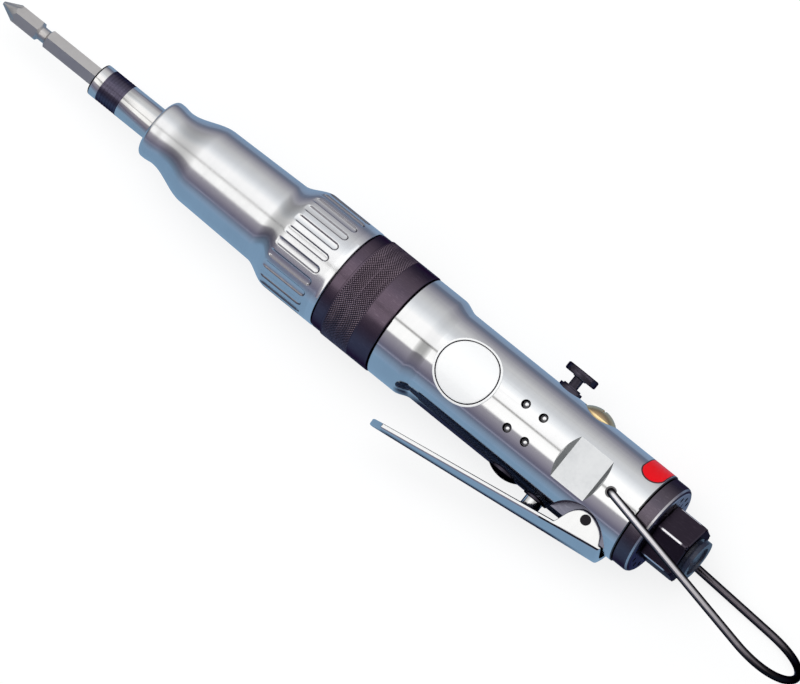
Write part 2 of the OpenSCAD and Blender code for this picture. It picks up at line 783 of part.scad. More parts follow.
// Handle housing: flange, grip, valve bores, spanner flats, lever lug and rear thread
flange_edge = 0.6;
flange_curve_length = 5.6;
handle_rear_edge = 0.3;
motor_room_end_gap = 1;
spool_bore_r = 3.6;
gland_r = 4.2;
gland_seat_y = 12.5;
end_cap_r = 6.1;
end_cap_seat_y = -13.4;
bush_wall = 1.2;
throttle_bore_r = plunger_r + run_gap;
throttle_bush_r = throttle_bore_r + bush_wall;
valve_room_r = 5.6;
valve_seat_y = -6;
plug_seat_y = 12.6;
shank_r = 7.8;
shank_length = 14.8;
air_bore_r = 4.4;
passage_r = 1.5;
motor_passage_y = [-3, 4.9];
supply_y = 1;
exhaust_room_r = 13;
exhaust_room_wall = 1.8;
exhaust_room_depth = 6.2;
exhaust_places = [[8.9, 8.9], [8.9, -8.9], [-5.2, -11.4]];
ball_plug_r = 1.55;
ball_plug_depth = 0.9;
ball_plug_y = 4.75;
ball_plug_floor = 0.7;
ball_plug_reach = [-4.8, 2.4];
ball_plug_x = [for (reach = ball_plug_reach) reverse_x + reach];
pocket_r = 12.6;
pocket_offset = [-1, -9.4];
lug_half_w = lever_rear_w / 2 - lever_t - loose_gap;
bail_hole_r = bail_wire_r + run_gap / 2;
bail_hole_depth = 3.6;
bail_hole_sink = 0.5;
marker_t = 0.8;
marker_length = 8.8;
marker_angle = 53;
marker_x = handle_to - handle_rear_edge - seat_gap - marker_length / 2;
motor_room_to = rear_plate_to + motor_room_end_gap;
shank_from = handle_to - shank_length;
module handle_outline() {
  turned(concat(
    [[0, handle_from]],
    round_corner(handle_from, flange_r, flange_edge),
    [[flange_r, handle_from + flange_length]],
    s_curve(handle_from + flange_length, flange_r,
      handle_from + flange_length + flange_curve_length, grip_r),
    [[grip_r, handle_to - handle_rear_edge], [grip_r - handle_rear_edge, handle_to]],
    [[0, handle_to]]
  ));
}
// Spanner flat with its sloping ends
module spanner_flat() {
  depth = grip_r - flat_height + cut;
  translate([flat_from, 0, flat_height]) rotate([90, 0, 0])
    linear_extrude(2 * grip_r, center = true)
      polygon([[0, 0], [flat_length, 0], [flat_length + depth, depth], [-depth, depth]]);
}
// Slot with round ends, wrapped round the rear of the grip on the +Y side; it is a hair
// narrower between its ends, so that no side touches a round end along a line
module marker_slot(gap, inner_r) {
  half_w = marker_length / 2 - gap;
  waist_w = half_w - seat_gap / 2;
  end_turn = half_w / grip_r * 180 / PI;
  reach = grip_r + 2 * cut;
  middle_turn = marker_angle - end_turn;
  wedge = [for (k = [-2 : 2]) on_circle(reach / cos(middle_turn / 4), middle_turn * k / 2)];
  intersection() {
    tube(grip_r + cut, inner_r, marker_x - marker_length, marker_x + marker_length);
    union() {
      for (side = [-1, 1]) rotate([side * middle_turn, 0, 0])
        cross_rod(half_w, marker_x, 0, reach);
      translate([marker_x - waist_w, 0, 0]) rotate([90, 0, 90])
        linear_extrude(2 * waist_w) polygon(concat([[0, 0]], wedge));
    }
  }
}
module valve_bores() {
  cross_rod(spool_bore_r, reverse_x, end_cap_seat_y - cut, gland_seat_y + cut);
  cross_rod(gland_r + press_gap, reverse_x, gland_seat_y, grip_r + cut);
  cross_rod(end_cap_r + press_gap, reverse_x, -grip_r - cut, end_cap_seat_y);
  cross_rod(throttle_bush_r + press_gap, throttle_x, -grip_r - cut, valve_seat_y);
  cross_rod(valve_room_r, throttle_x, valve_seat_y, plug_seat_y + cut);
  cross_rod(valve_plug_r + press_gap, throttle_x, plug_seat_y, grip_r + cut);
  for (x = ball_plug_x, side = [-1, 1])
    upright_rod(ball_plug_r, x, side * ball_plug_y, ball_plug_floor, grip_r + cut);
}
module air_passages() {
  for (y = motor_passage_y) translate([0, y, 0]) rod(passage_r, motor_room_to - cut, reverse_x);
  translate([0, supply_y, 0]) rod(passage_r, reverse_x, throttle_x);
  for (p = exhaust_places) translate([0, p[0], p[1]])
    rod(passage_r, motor_room_to - cut, handle_to - exhaust_room_depth + cut);
  rod(air_bore_r, throttle_x, shank_from + cut);
  tube(exhaust_room_r, shank_r + exhaust_room_wall, handle_to - exhaust_room_depth,
    handle_to + cut);
}
module handle_housing() {
  color("silver") difference() {
    handle_outline();
    rod(case_rear_r + press_gap, handle_from - cut, front_plate_from);
    rod(motor_bore_r, front_plate_from - cut, motor_room_to);
    rod(shank_r + press_gap, shank_from, handle_to + cut);
    valve_bores();
    air_passages();
    for (flip = [0, 1]) mirror([0, 0, flip]) {
      spanner_flat();
      upright_rod(pocket_r, lever_pin_x + pocket_offset[0], lever_pin_y + pocket_offset[1],
        lug_half_w, grip_r + cut);
      upright_rod(bail_hole_r, bail_x, 0, grip_r - bail_hole_depth, grip_r + cut);
      upright_rod(bail_hole_r + bail_hole_sink, bail_x, 0, grip_r - bail_hole_sink, grip_r + cut);
    }
    upright_rod(lever_pin_r + press_gap, lever_pin_x, lever_pin_y, -grip_r, grip_r);
    marker_slot(0, grip_r - marker_t);
  }
}
module red_marker() {
  color("crimson") intersection() {
    marker_slot(run_gap, grip_r - marker_t + press_gap);
    rod(grip_r, marker_x - marker_length, marker_x + marker_length);
  }
}

// Badge: a plain round plate curved to the grip
module badge() {
  color("white") rotate([-badge_angle, 0, 0]) intersection() {
    tube(grip_r + badge_t, grip_r + press_gap, badge_x - badge_r - cut, badge_x + badge_r + cut);
    upright_rod(badge_r, badge_x, 0, 0, grip_r + badge_t + cut);
  }
}

// Steel balls pressed into the four drillings beside the reversing valve
module passage_plugs() {
  mouth = sqrt(pow(grip_r, 2) - pow(ball_plug_y, 2));
  color("white") for (x = ball_plug_x, side = [-1, 1])
    translate([x, side * ball_plug_y, mouth - ball_plug_depth - ball_plug_r])
      sphere(r = ball_plug_r - press_gap);
}

// Reversing valve: spool with its O-rings, knob, gland and end cap
spool_r = spool_bore_r - run_gap;
spool_waist_r = 2;
spool_flank = 1;
spool_from = -9;
spool_to = 11.6;
spool_waists = [[-5.6, -0.4], [2.4, 7.4]];
spool_rings_y = [-7.3, 9.5];
stem_r = 1.75;
knob_from_y = knob_height - knob_t;
knob_socket_depth = 1;
module o_ring_groove(y, r) {
  translate([reverse_x, y, 0]) rotate([-90, 0, 0])
    rotate_extrude() translate([spool_r - o_ring_r, 0]) circle(r = r);
}
module reverse_spool() {
  color("silver") difference() {
    cross_turned(reverse_x, concat(
      [[0, spool_from], [spool_r, spool_from]],
      [for (w = spool_waists) each [
        [spool_r, w[0]], [spool_waist_r, w[0] + spool_flank],
        [spool_waist_r, w[1] - spool_flank], [spool_r, w[1]]
      ]],
      [[spool_r, spool_to], [stem_r, spool_to]],
      [[stem_r, knob_from_y + knob_socket_depth], [0, knob_from_y + knob_socket_depth]]
    ));
    for (y = spool_rings_y) o_ring_groove(y, o_ring_r + press_gap);
  }
}
module spool_o_rings() {
  color("black") for (y = spool_rings_y) o_ring_groove(y, o_ring_r);
}
knob_hub_r = 2.5;
knob_hub_length = 0.3;
knob_edge = 0.35;
knob_hub_y = knob_from_y - knob_hub_length;
module reverse_knob() {
  socket_r = stem_r + press_gap;
  color("black") cross_turned(reverse_x, [
    [0, knob_from_y + knob_socket_depth + press_gap],
    [socket_r, knob_from_y + knob_socket_depth + press_gap], [socket_r, knob_hub_y],
    [knob_hub_r - knob_hub_length, knob_hub_y], [knob_hub_r, knob_from_y],
    [knob_r - knob_edge, knob_from_y], [knob_r, knob_from_y + knob_edge],
    [knob_r, knob_height - knob_edge], [knob_r - knob_edge, knob_height], [0, knob_height]
  ]);
}
gland_rim = 1;
gland_flange_y = grip_r + gland_rim;
gland_top_r = 3.2;
gland_top_y = knob_hub_y - reverse_travel - seat_gap;
module reverse_gland() {
  bore_r = stem_r + run_gap;
  color("black") cross_turned(reverse_x, [
    [bore_r, gland_seat_y], [gland_r, gland_seat_y], [gland_r, gland_flange_y],
    [gland_top_r, gland_flange_y], [gland_top_r, gland_top_y], [bore_r, gland_top_y]
  ]);
}
end_cap_rim_y = 16.4;
end_cap_top_y = 18.3;
module reverse_end_cap() {
  color("black") mirror([0, 1, 0]) cross_turned(reverse_x, concat(
    [[0, -end_cap_seat_y], [end_cap_r, -end_cap_seat_y]],
    dome(end_cap_r, end_cap_rim_y, end_cap_top_y)
  ));
}

// Throttle valve: bush, plunger, ball, spring and the domed brass plug. The room between the
// ball and the plug leaves the spring its solid length, the plunger's stroke and some spare.
bush_rim = 0.4;
bush_edge = 0.3;
plunger_height = 22.75;
plunger_tip_rise = 0.8;
plunger_edge = 0.6;
plunger_cup_depth = 0.6;
throttle_ball_r = 4.4;
throttle_ball_y = valve_seat_y + run_gap
  + sqrt(pow(throttle_ball_r, 2) - pow(throttle_bore_r, 2));
plunger_end_y = throttle_ball_y - throttle_ball_r + plunger_cup_depth;
throttle_wire_r = 0.4;
throttle_turns = 5;
throttle_coil_r = 3.4;
throttle_spring_y = throttle_ball_y + run_gap
  + sqrt(pow(throttle_ball_r + throttle_wire_r, 2) - pow(throttle_coil_r, 2));
throttle_spring_spare = 3.9;
plunger_stroke = (lever_pin_x - throttle_x) * sin(lever_travel);
plug_floor_y = throttle_spring_y + 2 * throttle_wire_r * (throttle_turns + 1)
  + plunger_stroke + throttle_spring_spare;
plug_rim_y = 16;
plug_top_y = 18.8;
plug_slot_w = 1.2;
plug_slot_depth = 1;
plug_slot_length = 7;
module throttle_bush() {
  color("black") mirror([0, 1, 0]) cross_turned(throttle_x, [
    [throttle_bore_r, -valve_seat_y], [throttle_bush_r, -valve_seat_y],
    [throttle_bush_r, grip_r + bush_rim - bush_edge],
    [throttle_bush_r - bush_edge, grip_r + bush_rim], [throttle_bore_r, grip_r + bush_rim]
  ]);
}
module throttle_plunger() {
  color("silver") difference() {
    mirror([0, 1, 0]) cross_turned(throttle_x, concat(
      [[0, -plunger_end_y], [plunger_r - plunger_edge, -plunger_end_y]],
      [[plunger_r, plunger_edge - plunger_end_y]],
      dome(plunger_r, plunger_height - plunger_tip_rise, plunger_height)
    ));
    translate([throttle_x, throttle_ball_y, 0]) sphere(r = throttle_ball_r + press_gap);
  }
}
module throttle_ball() {
  color("black") translate([throttle_x, throttle_ball_y, 0]) sphere(r = throttle_ball_r);
}
module throttle_spring() {
  color("gray") translate([throttle_x, 0, 0]) rotate([0, 0, 90])
    coil_spring(throttle_coil_r, throttle_wire_r, throttle_spring_y - throttle_wire_r,
      plug_floor_y - run_gap, throttle_turns);
}
module valve_plug() {
  color("goldenrod") difference() {
    union() {
      cross_turned(throttle_x, concat(
        [[0, plug_seat_y], [valve_plug_r, plug_seat_y]],
        dome(valve_plug_r, plug_rim_y, plug_top_y)
      ));
      cross_rod(valve_room_r - seat_gap, throttle_x, plug_floor_y, plug_seat_y + cut);
    }
    for (turn = [0, 90]) translate([throttle_x, plug_top_y, 0]) rotate([0, turn, 0])
      cube([plug_slot_length, 2 * plug_slot_depth, plug_slot_w], center = true);
  }
}

// Lever: a tapered channel of bent sheet, its web arched between two creases, with a round tip
// and two ears on the lever pin
lever_length = 84.5;
lever_rear_reach = 9.3;
lever_tip_rim_y = -28.9;
lever_tip_web_y = -31.3;
lever_rear_rim_y = -15.3;
lever_rear_web_y = -20.6;
lever_tip_arch = 0.7;
lever_rear_arch = 3.8;
lever_tip_round = 4;
lever_tip_shares = [[0, 0.34], [0.12, 0.66], [0.4, 0.9], [1, 1]];
lever_slice = 0.2;
arch_steps = 3;
bend_sides = 32;
lever_rear_x = lever_pin_x + lever_rear_reach;
lever_tip_x = lever_rear_x - lever_length;
function lever_at(x, tip, rear) = tip + (rear - tip) * (x - lever_tip_x) / lever_length;
// Slice of the channel at x: square at the rim, arched at the web
module lever_section(x, w, inset, lift) {
  rim_y = lever_at(x, lever_tip_rim_y, lever_rear_rim_y) + lift;
  web_y = lever_at(x, lever_tip_web_y, lever_rear_web_y) + inset;
  arch = lever_at(x, lever_tip_arch, lever_rear_arch);
  half_w = w / 2 - inset;
  translate([x, 0, 0]) rotate([90, 0, 90]) linear_extrude(lever_slice) polygon(concat(
    [[rim_y, -half_w]],
    [for (k = [-arch_steps : arch_steps])
      [web_y + arch * pow(k / arch_steps, 2), half_w * k / arch_steps]],
    [[rim_y, half_w]]
  ));
}
// Whole channel as a solid, drawn in by the sheet's thickness for the hollow
module lever_body(inset, lift) {
  hull() {
    for (s = lever_tip_shares)
      lever_section(lever_tip_x + inset + lever_tip_round * s[0], lever_tip_w * s[1], inset, lift);
    lever_section(lever_rear_x - lever_slice + lift, lever_rear_w, inset, lift);
  }
}
ear_top_r = 3.5;
ear_top_lift = 0.8;
ear_rear_r = 2;
ear_rear_setback = 3.4;
ear_rear_drop = 2.1;
ear_front_reach = 8.3;
ear_foot_rise = 2.2;
ear_heel_rise = 0.2;
module ear_outline() {
  hull() {
    translate([lever_pin_x, lever_pin_y - ear_top_lift]) circle(r = ear_top_r, $fn = bend_sides);
    translate([lever_rear_x - ear_rear_setback, lever_pin_y - ear_rear_drop])
      circle(r = ear_rear_r, $fn = bend_sides);
    translate([lever_pin_x - ear_front_reach, lever_rear_web_y + ear_foot_rise])
      square(lever_slice);
    translate([lever_rear_x - lever_slice, lever_rear_web_y + lever_rear_arch + ear_heel_rise])
      square(lever_slice);
  }
}
module lever() {
  color("white") difference() {
    union() {
      difference() {
        lever_body(0, 0);
        lever_body(lever_t, cut);
      }
      for (side = [-1, 1]) translate([0, 0, side * (lever_rear_w - lever_t) / 2])
        linear_extrude(lever_t, center = true) ear_outline();
    }
    upright_rod(lever_pin_r + run_gap, lever_pin_x, lever_pin_y, -grip_r, grip_r);
  }
}
module lever_pin() {
  color("black") upright_rod(lever_pin_r, lever_pin_x, lever_pin_y,
    -lever_rear_w / 2 - loose_gap, lever_rear_w / 2 + loose_gap);
}

// Rear cap with its ring of exhaust holes, and the silencer ring in it
neck_r = 8.25;
cap_room_r = 14.6;
cap_wall = 1.6;
cap_corner = 1.8;
cap_hole_r = 0.9;
cap_hole_count = 16;
cap_hole_place = 12.9;
module rear_cap() {
  bore_r = neck_r + run_gap;
  color("#4a4248") difference() {
    turned(concat(
      [[bore_r, cap_from], [cap_r - handle_rear_edge, cap_from]],
      [[cap_r, cap_from + handle_rear_edge]],
      [for (k = [0 : corner_steps]) let (a = 90 * k / corner_steps)
        [cap_r - cap_corner * (1 - cos(a)), cap_to - cap_corner * (1 - sin(a))]],
      [[bore_r, cap_to]]
    ));
    tube(cap_room_r, neck_r + cap_wall, cap_from - cut, cap_to - cap_wall);
    around(cap_hole_count) translate([0, 0, cap_hole_place])
      rod(cap_hole_r, cap_to - cap_wall - cut, cap_to + cut);
  }
}
module exhaust_silencer() {
  color("tan") tube(cap_room_r - seat_gap, neck_r + cap_wall + seat_gap,
    cap_from, cap_to - cap_wall - seat_gap);
}

// Inlet bushing: threaded shank, neck for the cap and hexagon with the air thread
inlet_angle = 6;
lead_in_r = 7;
lead_in_depth = 3;
hex_chamfer = 1.4;
hex_from = cap_to + seat_gap;
hex_to = hex_from + inlet_hex_length;
thread_mouth_x = hex_to - lead_in_depth;
bushing_from = shank_from + 2 * o_ring_r + seat_gap;
module inlet_bushing() {
  crown_r = corner_r(inlet_af);
  color("#26242a") difference() {
    union() {
      rod(shank_r, bushing_from, hex_from);
      rod(neck_r, handle_to, hex_from + cut);
      intersection() {
        rotate([-inlet_angle, 0, 0]) hex_rod(inlet_af, hex_from, hex_to);
        turned([
          [0, hex_from - cut], [crown_r + cut, hex_from - cut],
          [crown_r + cut, hex_to - hex_chamfer - cut], [crown_r - hex_chamfer, hex_to + cut],
          [0, hex_to + cut]
        ]);
      }
    }
    rod(air_bore_r, bushing_from - cut, hex_to);
    rod(inlet_thread_r, thread_mouth_x - inlet_thread_length, hex_to);
    rod(lead_in_r, thread_mouth_x, hex_to + cut);
  }
}
module inlet_o_ring() {
  color("black") translate([shank_from + o_ring_r + run_gap, 0, 0]) rotate([0, 90, 0])
    rotate_extrude() translate([(shank_r + air_bore_r) / 2, 0]) circle(r = o_ring_r);
}
screen_t = 0.5;
screen_length = 5;
screen_setback = 4;
screen_hole_count = 6;
screen_from = bushing_from + screen_setback;
module inlet_screen() {
  color("gold") difference() {
    rod(air_bore_r - press_gap, screen_from, screen_from + screen_length);
    rod(air_bore_r - screen_t, screen_from + screen_t, screen_from + screen_length + cut);
    around(screen_hole_count) translate([0, 0, air_bore_r / 2])
      rod(screen_t, screen_from - cut, screen_from + cut);
  }
}

// Dust plug in the mouth of the inlet
plug_neck_r = 6;
plug_neck_length = 1.3;
plug_disc_t = 1.6;
plug_dish_r = 5.2;
plug_dish_depth = 0.7;
plug_disc_from = hex_to + plug_neck_length;
plug_disc_to = plug_disc_from + plug_disc_t;
module dust_plug() {
  spigot_r = lead_in_r - seat_gap;
  color("#2a3550") turned([
    [0, thread_mouth_x + seat_gap], [spigot_r, thread_mouth_x + seat_gap], [spigot_r, hex_to],
    [plug_neck_r, hex_to], [plug_neck_r, plug_disc_from], [plug_disc_r, plug_disc_from],
    [plug_disc_r, plug_disc_to], [plug_dish_r, plug_disc_to],
    [plug_dish_r, plug_disc_to - plug_dish_depth], [0, plug_disc_to - plug_dish_depth]
  ]);
}

// Bail: one bent wire, its legs leaning and a little twisted, with its ends in the handle
bail_gap = 0.35;
bail_bend_r = 2.1;
bail_sides = 12;
bail_lean_shares = [0.121, 0.0625, 0.0315];
bail_leg_steps = 6;
bail_end_steps = 18;
bail_bend_steps = 4;
bail_leg_z = grip_r + bail_gap + bail_wire_r;
bail_leg_to = bail_length - bail_leg_z;
// Half of the wire on its flat pattern, as [distance from the pivot, height] points
bail_half = concat(
  [[0, grip_r - bail_gap - bail_wire_r]],
  [for (k = [0 : bail_bend_steps]) let (a = 90 * k / bail_bend_steps)
    [bail_bend_r * (1 - cos(a)), bail_leg_z - bail_bend_r * (1 - sin(a))]],
  [for (k = [1 : bail_leg_steps])
    [bail_bend_r + (bail_leg_to - bail_bend_r) * k / bail_leg_steps, bail_leg_z]]
);
bail_pattern = concat(
  bail_half,
  [for (k = [1 : bail_end_steps - 1]) let (a = 90 - 180 * k / bail_end_steps)
    [bail_leg_to + bail_leg_z * cos(a), bail_leg_z * sin(a)]],
  [for (k = [len(bail_half) - 1 : -1 : 0]) [bail_half[k][0], -bail_half[k][1]]]
);
// The pattern leans to -Y, more on the +Z leg than on the -Z leg
bail_path = [for (p = bail_pattern) let (s = p[1] / bail_leg_z)
  [bail_x + p[0], -p[0] * (bail_lean_shares * [1, s, s * s]), p[1]]];
function path_along(path, i) = unit(path[min(i + 1, len(path) - 1)] - path[max(i - 1, 0)]);
bail_points = [for (i = [0 : len(bail_path) - 1])
  let (along = path_along(bail_path, i))
  each wire_ring(bail_path[i], along, unit(cross(along, [0, 1, 0])), bail_wire_r, bail_sides)];
bail_pin_r = bail_wire_r * cos(180 / bail_sides) - run_gap / 2;
module bail() {
  color("#4b4448") {
    polyhedron(bail_points, tube_faces(len(bail_path), bail_sides), convexity = 8);
    for (flip = [0, 1]) mirror([0, 0, flip])
      upright_rod(bail_pin_r, bail_x, 0, grip_r - bail_hole_depth + loose_gap,
        bail_leg_z - bail_bend_r);
  }
}

echo(sleeve_spring_gap = coil_gap((spring_room_r + chuck_r) / 2, sleeve_wire_r,
  washer_to + run_gap, spring_room_to - run_gap, sleeve_turns));
echo(clutch_spring_gap = coil_gap(clutch_coil_r, clutch_wire_r, nut_to + run_gap,
  driven_cam_from - run_gap, clutch_turns));
echo(throttle_spring_gap = coil_gap(throttle_coil_r, throttle_wire_r,
  throttle_spring_y - throttle_wire_r, plug_floor_y - run_gap, throttle_turns));

bit();
spindle();
retaining_ball();
chuck_sleeve();
sleeve_band();
sleeve_spring();
sleeve_retainer();
nose_housing();
front_bush();
clutch_adjusting_nut();
clutch_spring();
clutch_driven_cam();
clutch_balls();
planet_carrier();
planet_pins();
carrier_bearing();
planet_gear_a();
planet_gear_b();
planet_gear_c();
ring_gear();
gear_spacer();
gear_case();
knurled_collar();
rotor();
rotor_vanes();
motor_cylinder();
front_end_plate();
rear_end_plate();
rotor_front_bearing();
rotor_rear_bearing();
handle_housing();
badge();
passage_plugs();
reverse_spool();
spool_o_rings();
reverse_knob();
reverse_gland();
reverse_end_cap();
throttle_plunger();
throttle_ball();
throttle_spring();
throttle_bush();
valve_plug();
lever();
lever_pin();
red_marker();
rear_cap();
exhaust_silencer();
inlet_bushing();
inlet_screen();
inlet_o_ring();
dust_plug();
bail();
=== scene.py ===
# Looks of the pneumatic screwdriver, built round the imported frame. Lengths in the tables are
# millimetres in the part's own frame: the spindle axis is X, the badge faces +Z, the lever -Y.
import bpy
import json
import math
from mathutils import Matrix, Vector


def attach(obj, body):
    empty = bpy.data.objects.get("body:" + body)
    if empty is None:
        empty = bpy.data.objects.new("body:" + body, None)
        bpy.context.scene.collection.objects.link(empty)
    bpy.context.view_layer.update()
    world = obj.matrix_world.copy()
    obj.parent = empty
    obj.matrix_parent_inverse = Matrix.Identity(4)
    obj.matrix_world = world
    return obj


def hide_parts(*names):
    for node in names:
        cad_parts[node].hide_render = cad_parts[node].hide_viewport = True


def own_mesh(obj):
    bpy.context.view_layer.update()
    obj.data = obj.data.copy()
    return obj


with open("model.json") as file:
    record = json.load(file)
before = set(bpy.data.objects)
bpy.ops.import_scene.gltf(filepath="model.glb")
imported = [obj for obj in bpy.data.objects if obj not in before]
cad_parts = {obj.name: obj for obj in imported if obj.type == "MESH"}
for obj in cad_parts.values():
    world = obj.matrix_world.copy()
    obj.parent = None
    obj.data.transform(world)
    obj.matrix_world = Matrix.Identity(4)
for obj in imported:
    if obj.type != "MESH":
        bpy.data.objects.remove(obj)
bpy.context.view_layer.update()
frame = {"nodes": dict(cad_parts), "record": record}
cad_nodes = frame["nodes"]
MM = 0.001
# Points nearer to each other than this, in metres, are welded to one
WELD_GAP = 0.000002
# Radii that differ by less than this, in mm, count as the same
SAME_R = 0.01


def lin(*srgb):
    """Linear colour from 0-255 screen values."""
    return tuple(((v / 255 + 0.055) / 1.055) ** 2.4 if v > 10 else v / 255 / 12.92 for v in srgb)


# Meshes

def link_object(name, data):
    obj = bpy.data.objects.new(name, data)
    bpy.context.scene.collection.objects.link(obj)
    return obj


def mesh_piece(name, shape, body, material, sharp=35):
    """Piece from shape, its (points in mm, faces). Edges of over sharp degrees stay sharp."""
    verts, faces = shape
    mesh = bpy.data.meshes.new(name)
    mesh.from_pydata([tuple(c * MM for c in v) for v in verts], [], faces)
    mesh.validate()
    mesh.update()
    mesh.shade_smooth()
    mesh.set_sharp_from_angle(angle=math.radians(sharp))
    obj = link_object(name, mesh)
    mesh.materials.append(material)
    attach(obj, body)
    return obj


def second_material(obj, material, chosen):
    """Put a further material on the faces that chosen(centre in mm, normal) picks."""
    mesh = obj.data
    mesh.materials.append(material)
    index = len(mesh.materials) - 1
    for face in mesh.polygons:
        if chosen(face.center / MM, face.normal):
            face.material_index = index


def weld(obj):
    modifier = obj.modifiers.new("weld", "WELD")
    modifier.merge_threshold = WELD_GAP


def skin(rings, closed_ends=False, loop=False):
    """Faces over closed rings of points of equal length, wound so that they face outward for
    rings that run clockwise seen along the path. With loop the last ring joins the first."""
    count, sides = len(rings), len(rings[0])
    verts = [p for ring in rings for p in ring]
    faces = []
    for i in range(count if loop else count - 1):
        j = (i + 1) % count
        for k in range(sides):
            m = (k + 1) % sides
            faces.append((i * sides + k, i * sides + m, j * sides + m, j * sides + k))
    if closed_ends:
        faces.append(tuple(range(sides - 1, -1, -1)))
        faces.append(tuple((count - 1) * sides + k for k in range(sides)))
    return verts, faces


def lathe(profile, sides, shaped):
    """Closed profile of (x, radius) turned about the X axis. shaped(x, r, turn) gives the
    radius at a turn, which runs from +Z toward -Y."""
    rings = []
    for x, r in profile:
        ring = []
        for k in range(sides):
            turn = 2 * math.pi * k / sides
            out = shaped(x, r, turn)
            ring.append((x, -out * math.sin(turn), out * math.cos(turn)))
        rings.append(ring)
    return skin(rings, loop=True)


def arc(cx, cr, radius, a0, a1, steps):
    """Points (x, r) on an arc; angles in degrees from +x toward +r."""
    out = []
    for k in range(steps + 1):
        a = math.radians(a0 + (a1 - a0) * k / steps)
        out.append((cx + radius * math.cos(a), cr + radius * math.sin(a)))
    return out


def ease(t):
    """Share that starts and ends softly."""
    return t * t * (3 - 2 * t)


def mix(a, b, share):
    return a + (b - a) * share


def s_curve(x0, r0, x1, r1, steps):
    """Points (x, r) after the first on a soft step."""
    return [(x0 + (x1 - x0) * k / steps, r0 + (r1 - r0) * ease(k / steps))
            for k in range(1, steps + 1)]


def line(x0, r0, x1, r1, steps):
    """Points (x, r) after the first on a straight line."""
    return [(x0 + (x1 - x0) * k / steps, r0 + (r1 - r0) * k / steps)
            for k in range(1, steps + 1)]


def from_axis(c):
    """Distance of a point from the spindle's axis."""
    return math.hypot(c.y, c.z)


# Materials

def rgba(color):
    """A colour with its alpha; a socket stays as it is."""
    return color if isinstance(color, bpy.types.NodeSocket) else (*color, 1)


def times(factor, values):
    return tuple(factor * v for v in values)


class Tree:
    """Short names for building the node tree of a material or of the world."""

    def __init__(self, owner, output, coordinates):
        owner.use_nodes = True
        self.owner = owner
        self.nodes = owner.node_tree.nodes
        self.links = owner.node_tree.links
        self.nodes.clear()
        self.out = self.nodes.new(output)
        self.coord = self.nodes.new("ShaderNodeTexCoord").outputs[coordinates]

    def plug(self, socket, value):
        if isinstance(value, bpy.types.NodeSocket):
            self.links.new(value, socket)
        else:
            socket.default_value = value

    def new(self, kind, **sockets):
        node = self.nodes.new(kind)
        for key, value in sockets.items():
            self.plug(node.inputs[key.replace("_", " ")], value)
        return node

    def parts(self, vector):
        """The X, Y and Z of a vector, by name."""
        return self.new("ShaderNodeSeparateXYZ", Vector=vector).outputs

    def noise(self, scale, detail, stretch=(1, 1, 1)):
        place = self.new("ShaderNodeMapping", Vector=self.coord, Scale=stretch)
        node = self.new("ShaderNodeTexNoise", Vector=place.outputs["Vector"], Scale=scale,
                        Detail=detail)
        return node.outputs["Fac"]

    def spread(self, value, lo, hi, out_lo=0.0, out_hi=1.0):
        """Runs from out_lo to out_hi while value runs from lo to hi."""
        node = self.new("ShaderNodeMapRange", Value=value)
        node.inputs["From Min"].default_value = lo
        node.inputs["From Max"].default_value = hi
        node.inputs["To Min"].default_value = out_lo
        node.inputs["To Max"].default_value = out_hi
        return node.outputs["Result"]

    def math(self, op, a, b=0.0):
        node = self.nodes.new("ShaderNodeMath")
        node.operation = op
        self.plug(node.inputs[0], a)
        self.plug(node.inputs[1], b)
        return node.outputs[0]

    def blend(self, factor, a, b):
        """Colour a where factor is 0, b where it is 1."""
        node = self.nodes.new("ShaderNodeMix")
        node.data_type = "RGBA"
        self.plug(node.inputs[0], factor)
        self.plug(node.inputs[6], rgba(a))
        self.plug(node.inputs[7], rgba(b))
        return node.outputs[2]

    def choose(self, factor, a, b):
        """Shader a where factor is 0, b where it is 1."""
        node = self.nodes.new("ShaderNodeMixShader")
        self.plug(node.inputs[0], factor)
        self.plug(node.inputs[1], a)
        self.plug(node.inputs[2], b)
        return node.outputs[0]

    def ramp(self, factor, stops):
        """Colour ramp of (place from 0 to 1, screen colour)."""
        node = self.nodes.new("ShaderNodeValToRGB")
        self.plug(node.inputs[0], factor)
        elements = node.color_ramp.elements
        while len(elements) < len(stops):
            elements.new(0.5)
        for element, (place, color) in zip(elements, stops):
            element.position = place
        for element, (place, color) in zip(elements, stops):
            element.color = rgba(lin(*color))
        return node.outputs[0]

    def bump(self, height, strength, depth, under=None):
        node = self.new("ShaderNodeBump", Height=height, Strength=strength, Distance=depth)
        if under is not None:
            self.plug(node.inputs["Normal"], under)
        return node.outputs["Normal"]

    def edges(self):
        """Share that is full on sharp outer edges."""
        node = self.nodes.new("ShaderNodeNewGeometry")
        return self.spread(node.outputs["Pointiness"], *EDGE_RANGE)

    def finish(self, color, metallic, rough, normal, **extra):
        shader = self.nodes.new("ShaderNodeBsdfPrincipled")
        self.plug(shader.inputs["Base Color"], rgba(color))
        shader.inputs["Metallic"].default_value = metallic
        self.plug(shader.inputs["Roughness"], rough)
        self.plug(shader.inputs["Normal"], normal)
        for key, value in extra.items():
            shader.inputs[key.replace("_", " ")].default_value = value
        self.plug(self.out.inputs["Surface"], shader.outputs[0])
        return self.owner


def material_tree(name):
    return Tree(bpy.data.materials.new(name), "ShaderNodeOutputMaterial", "Object")


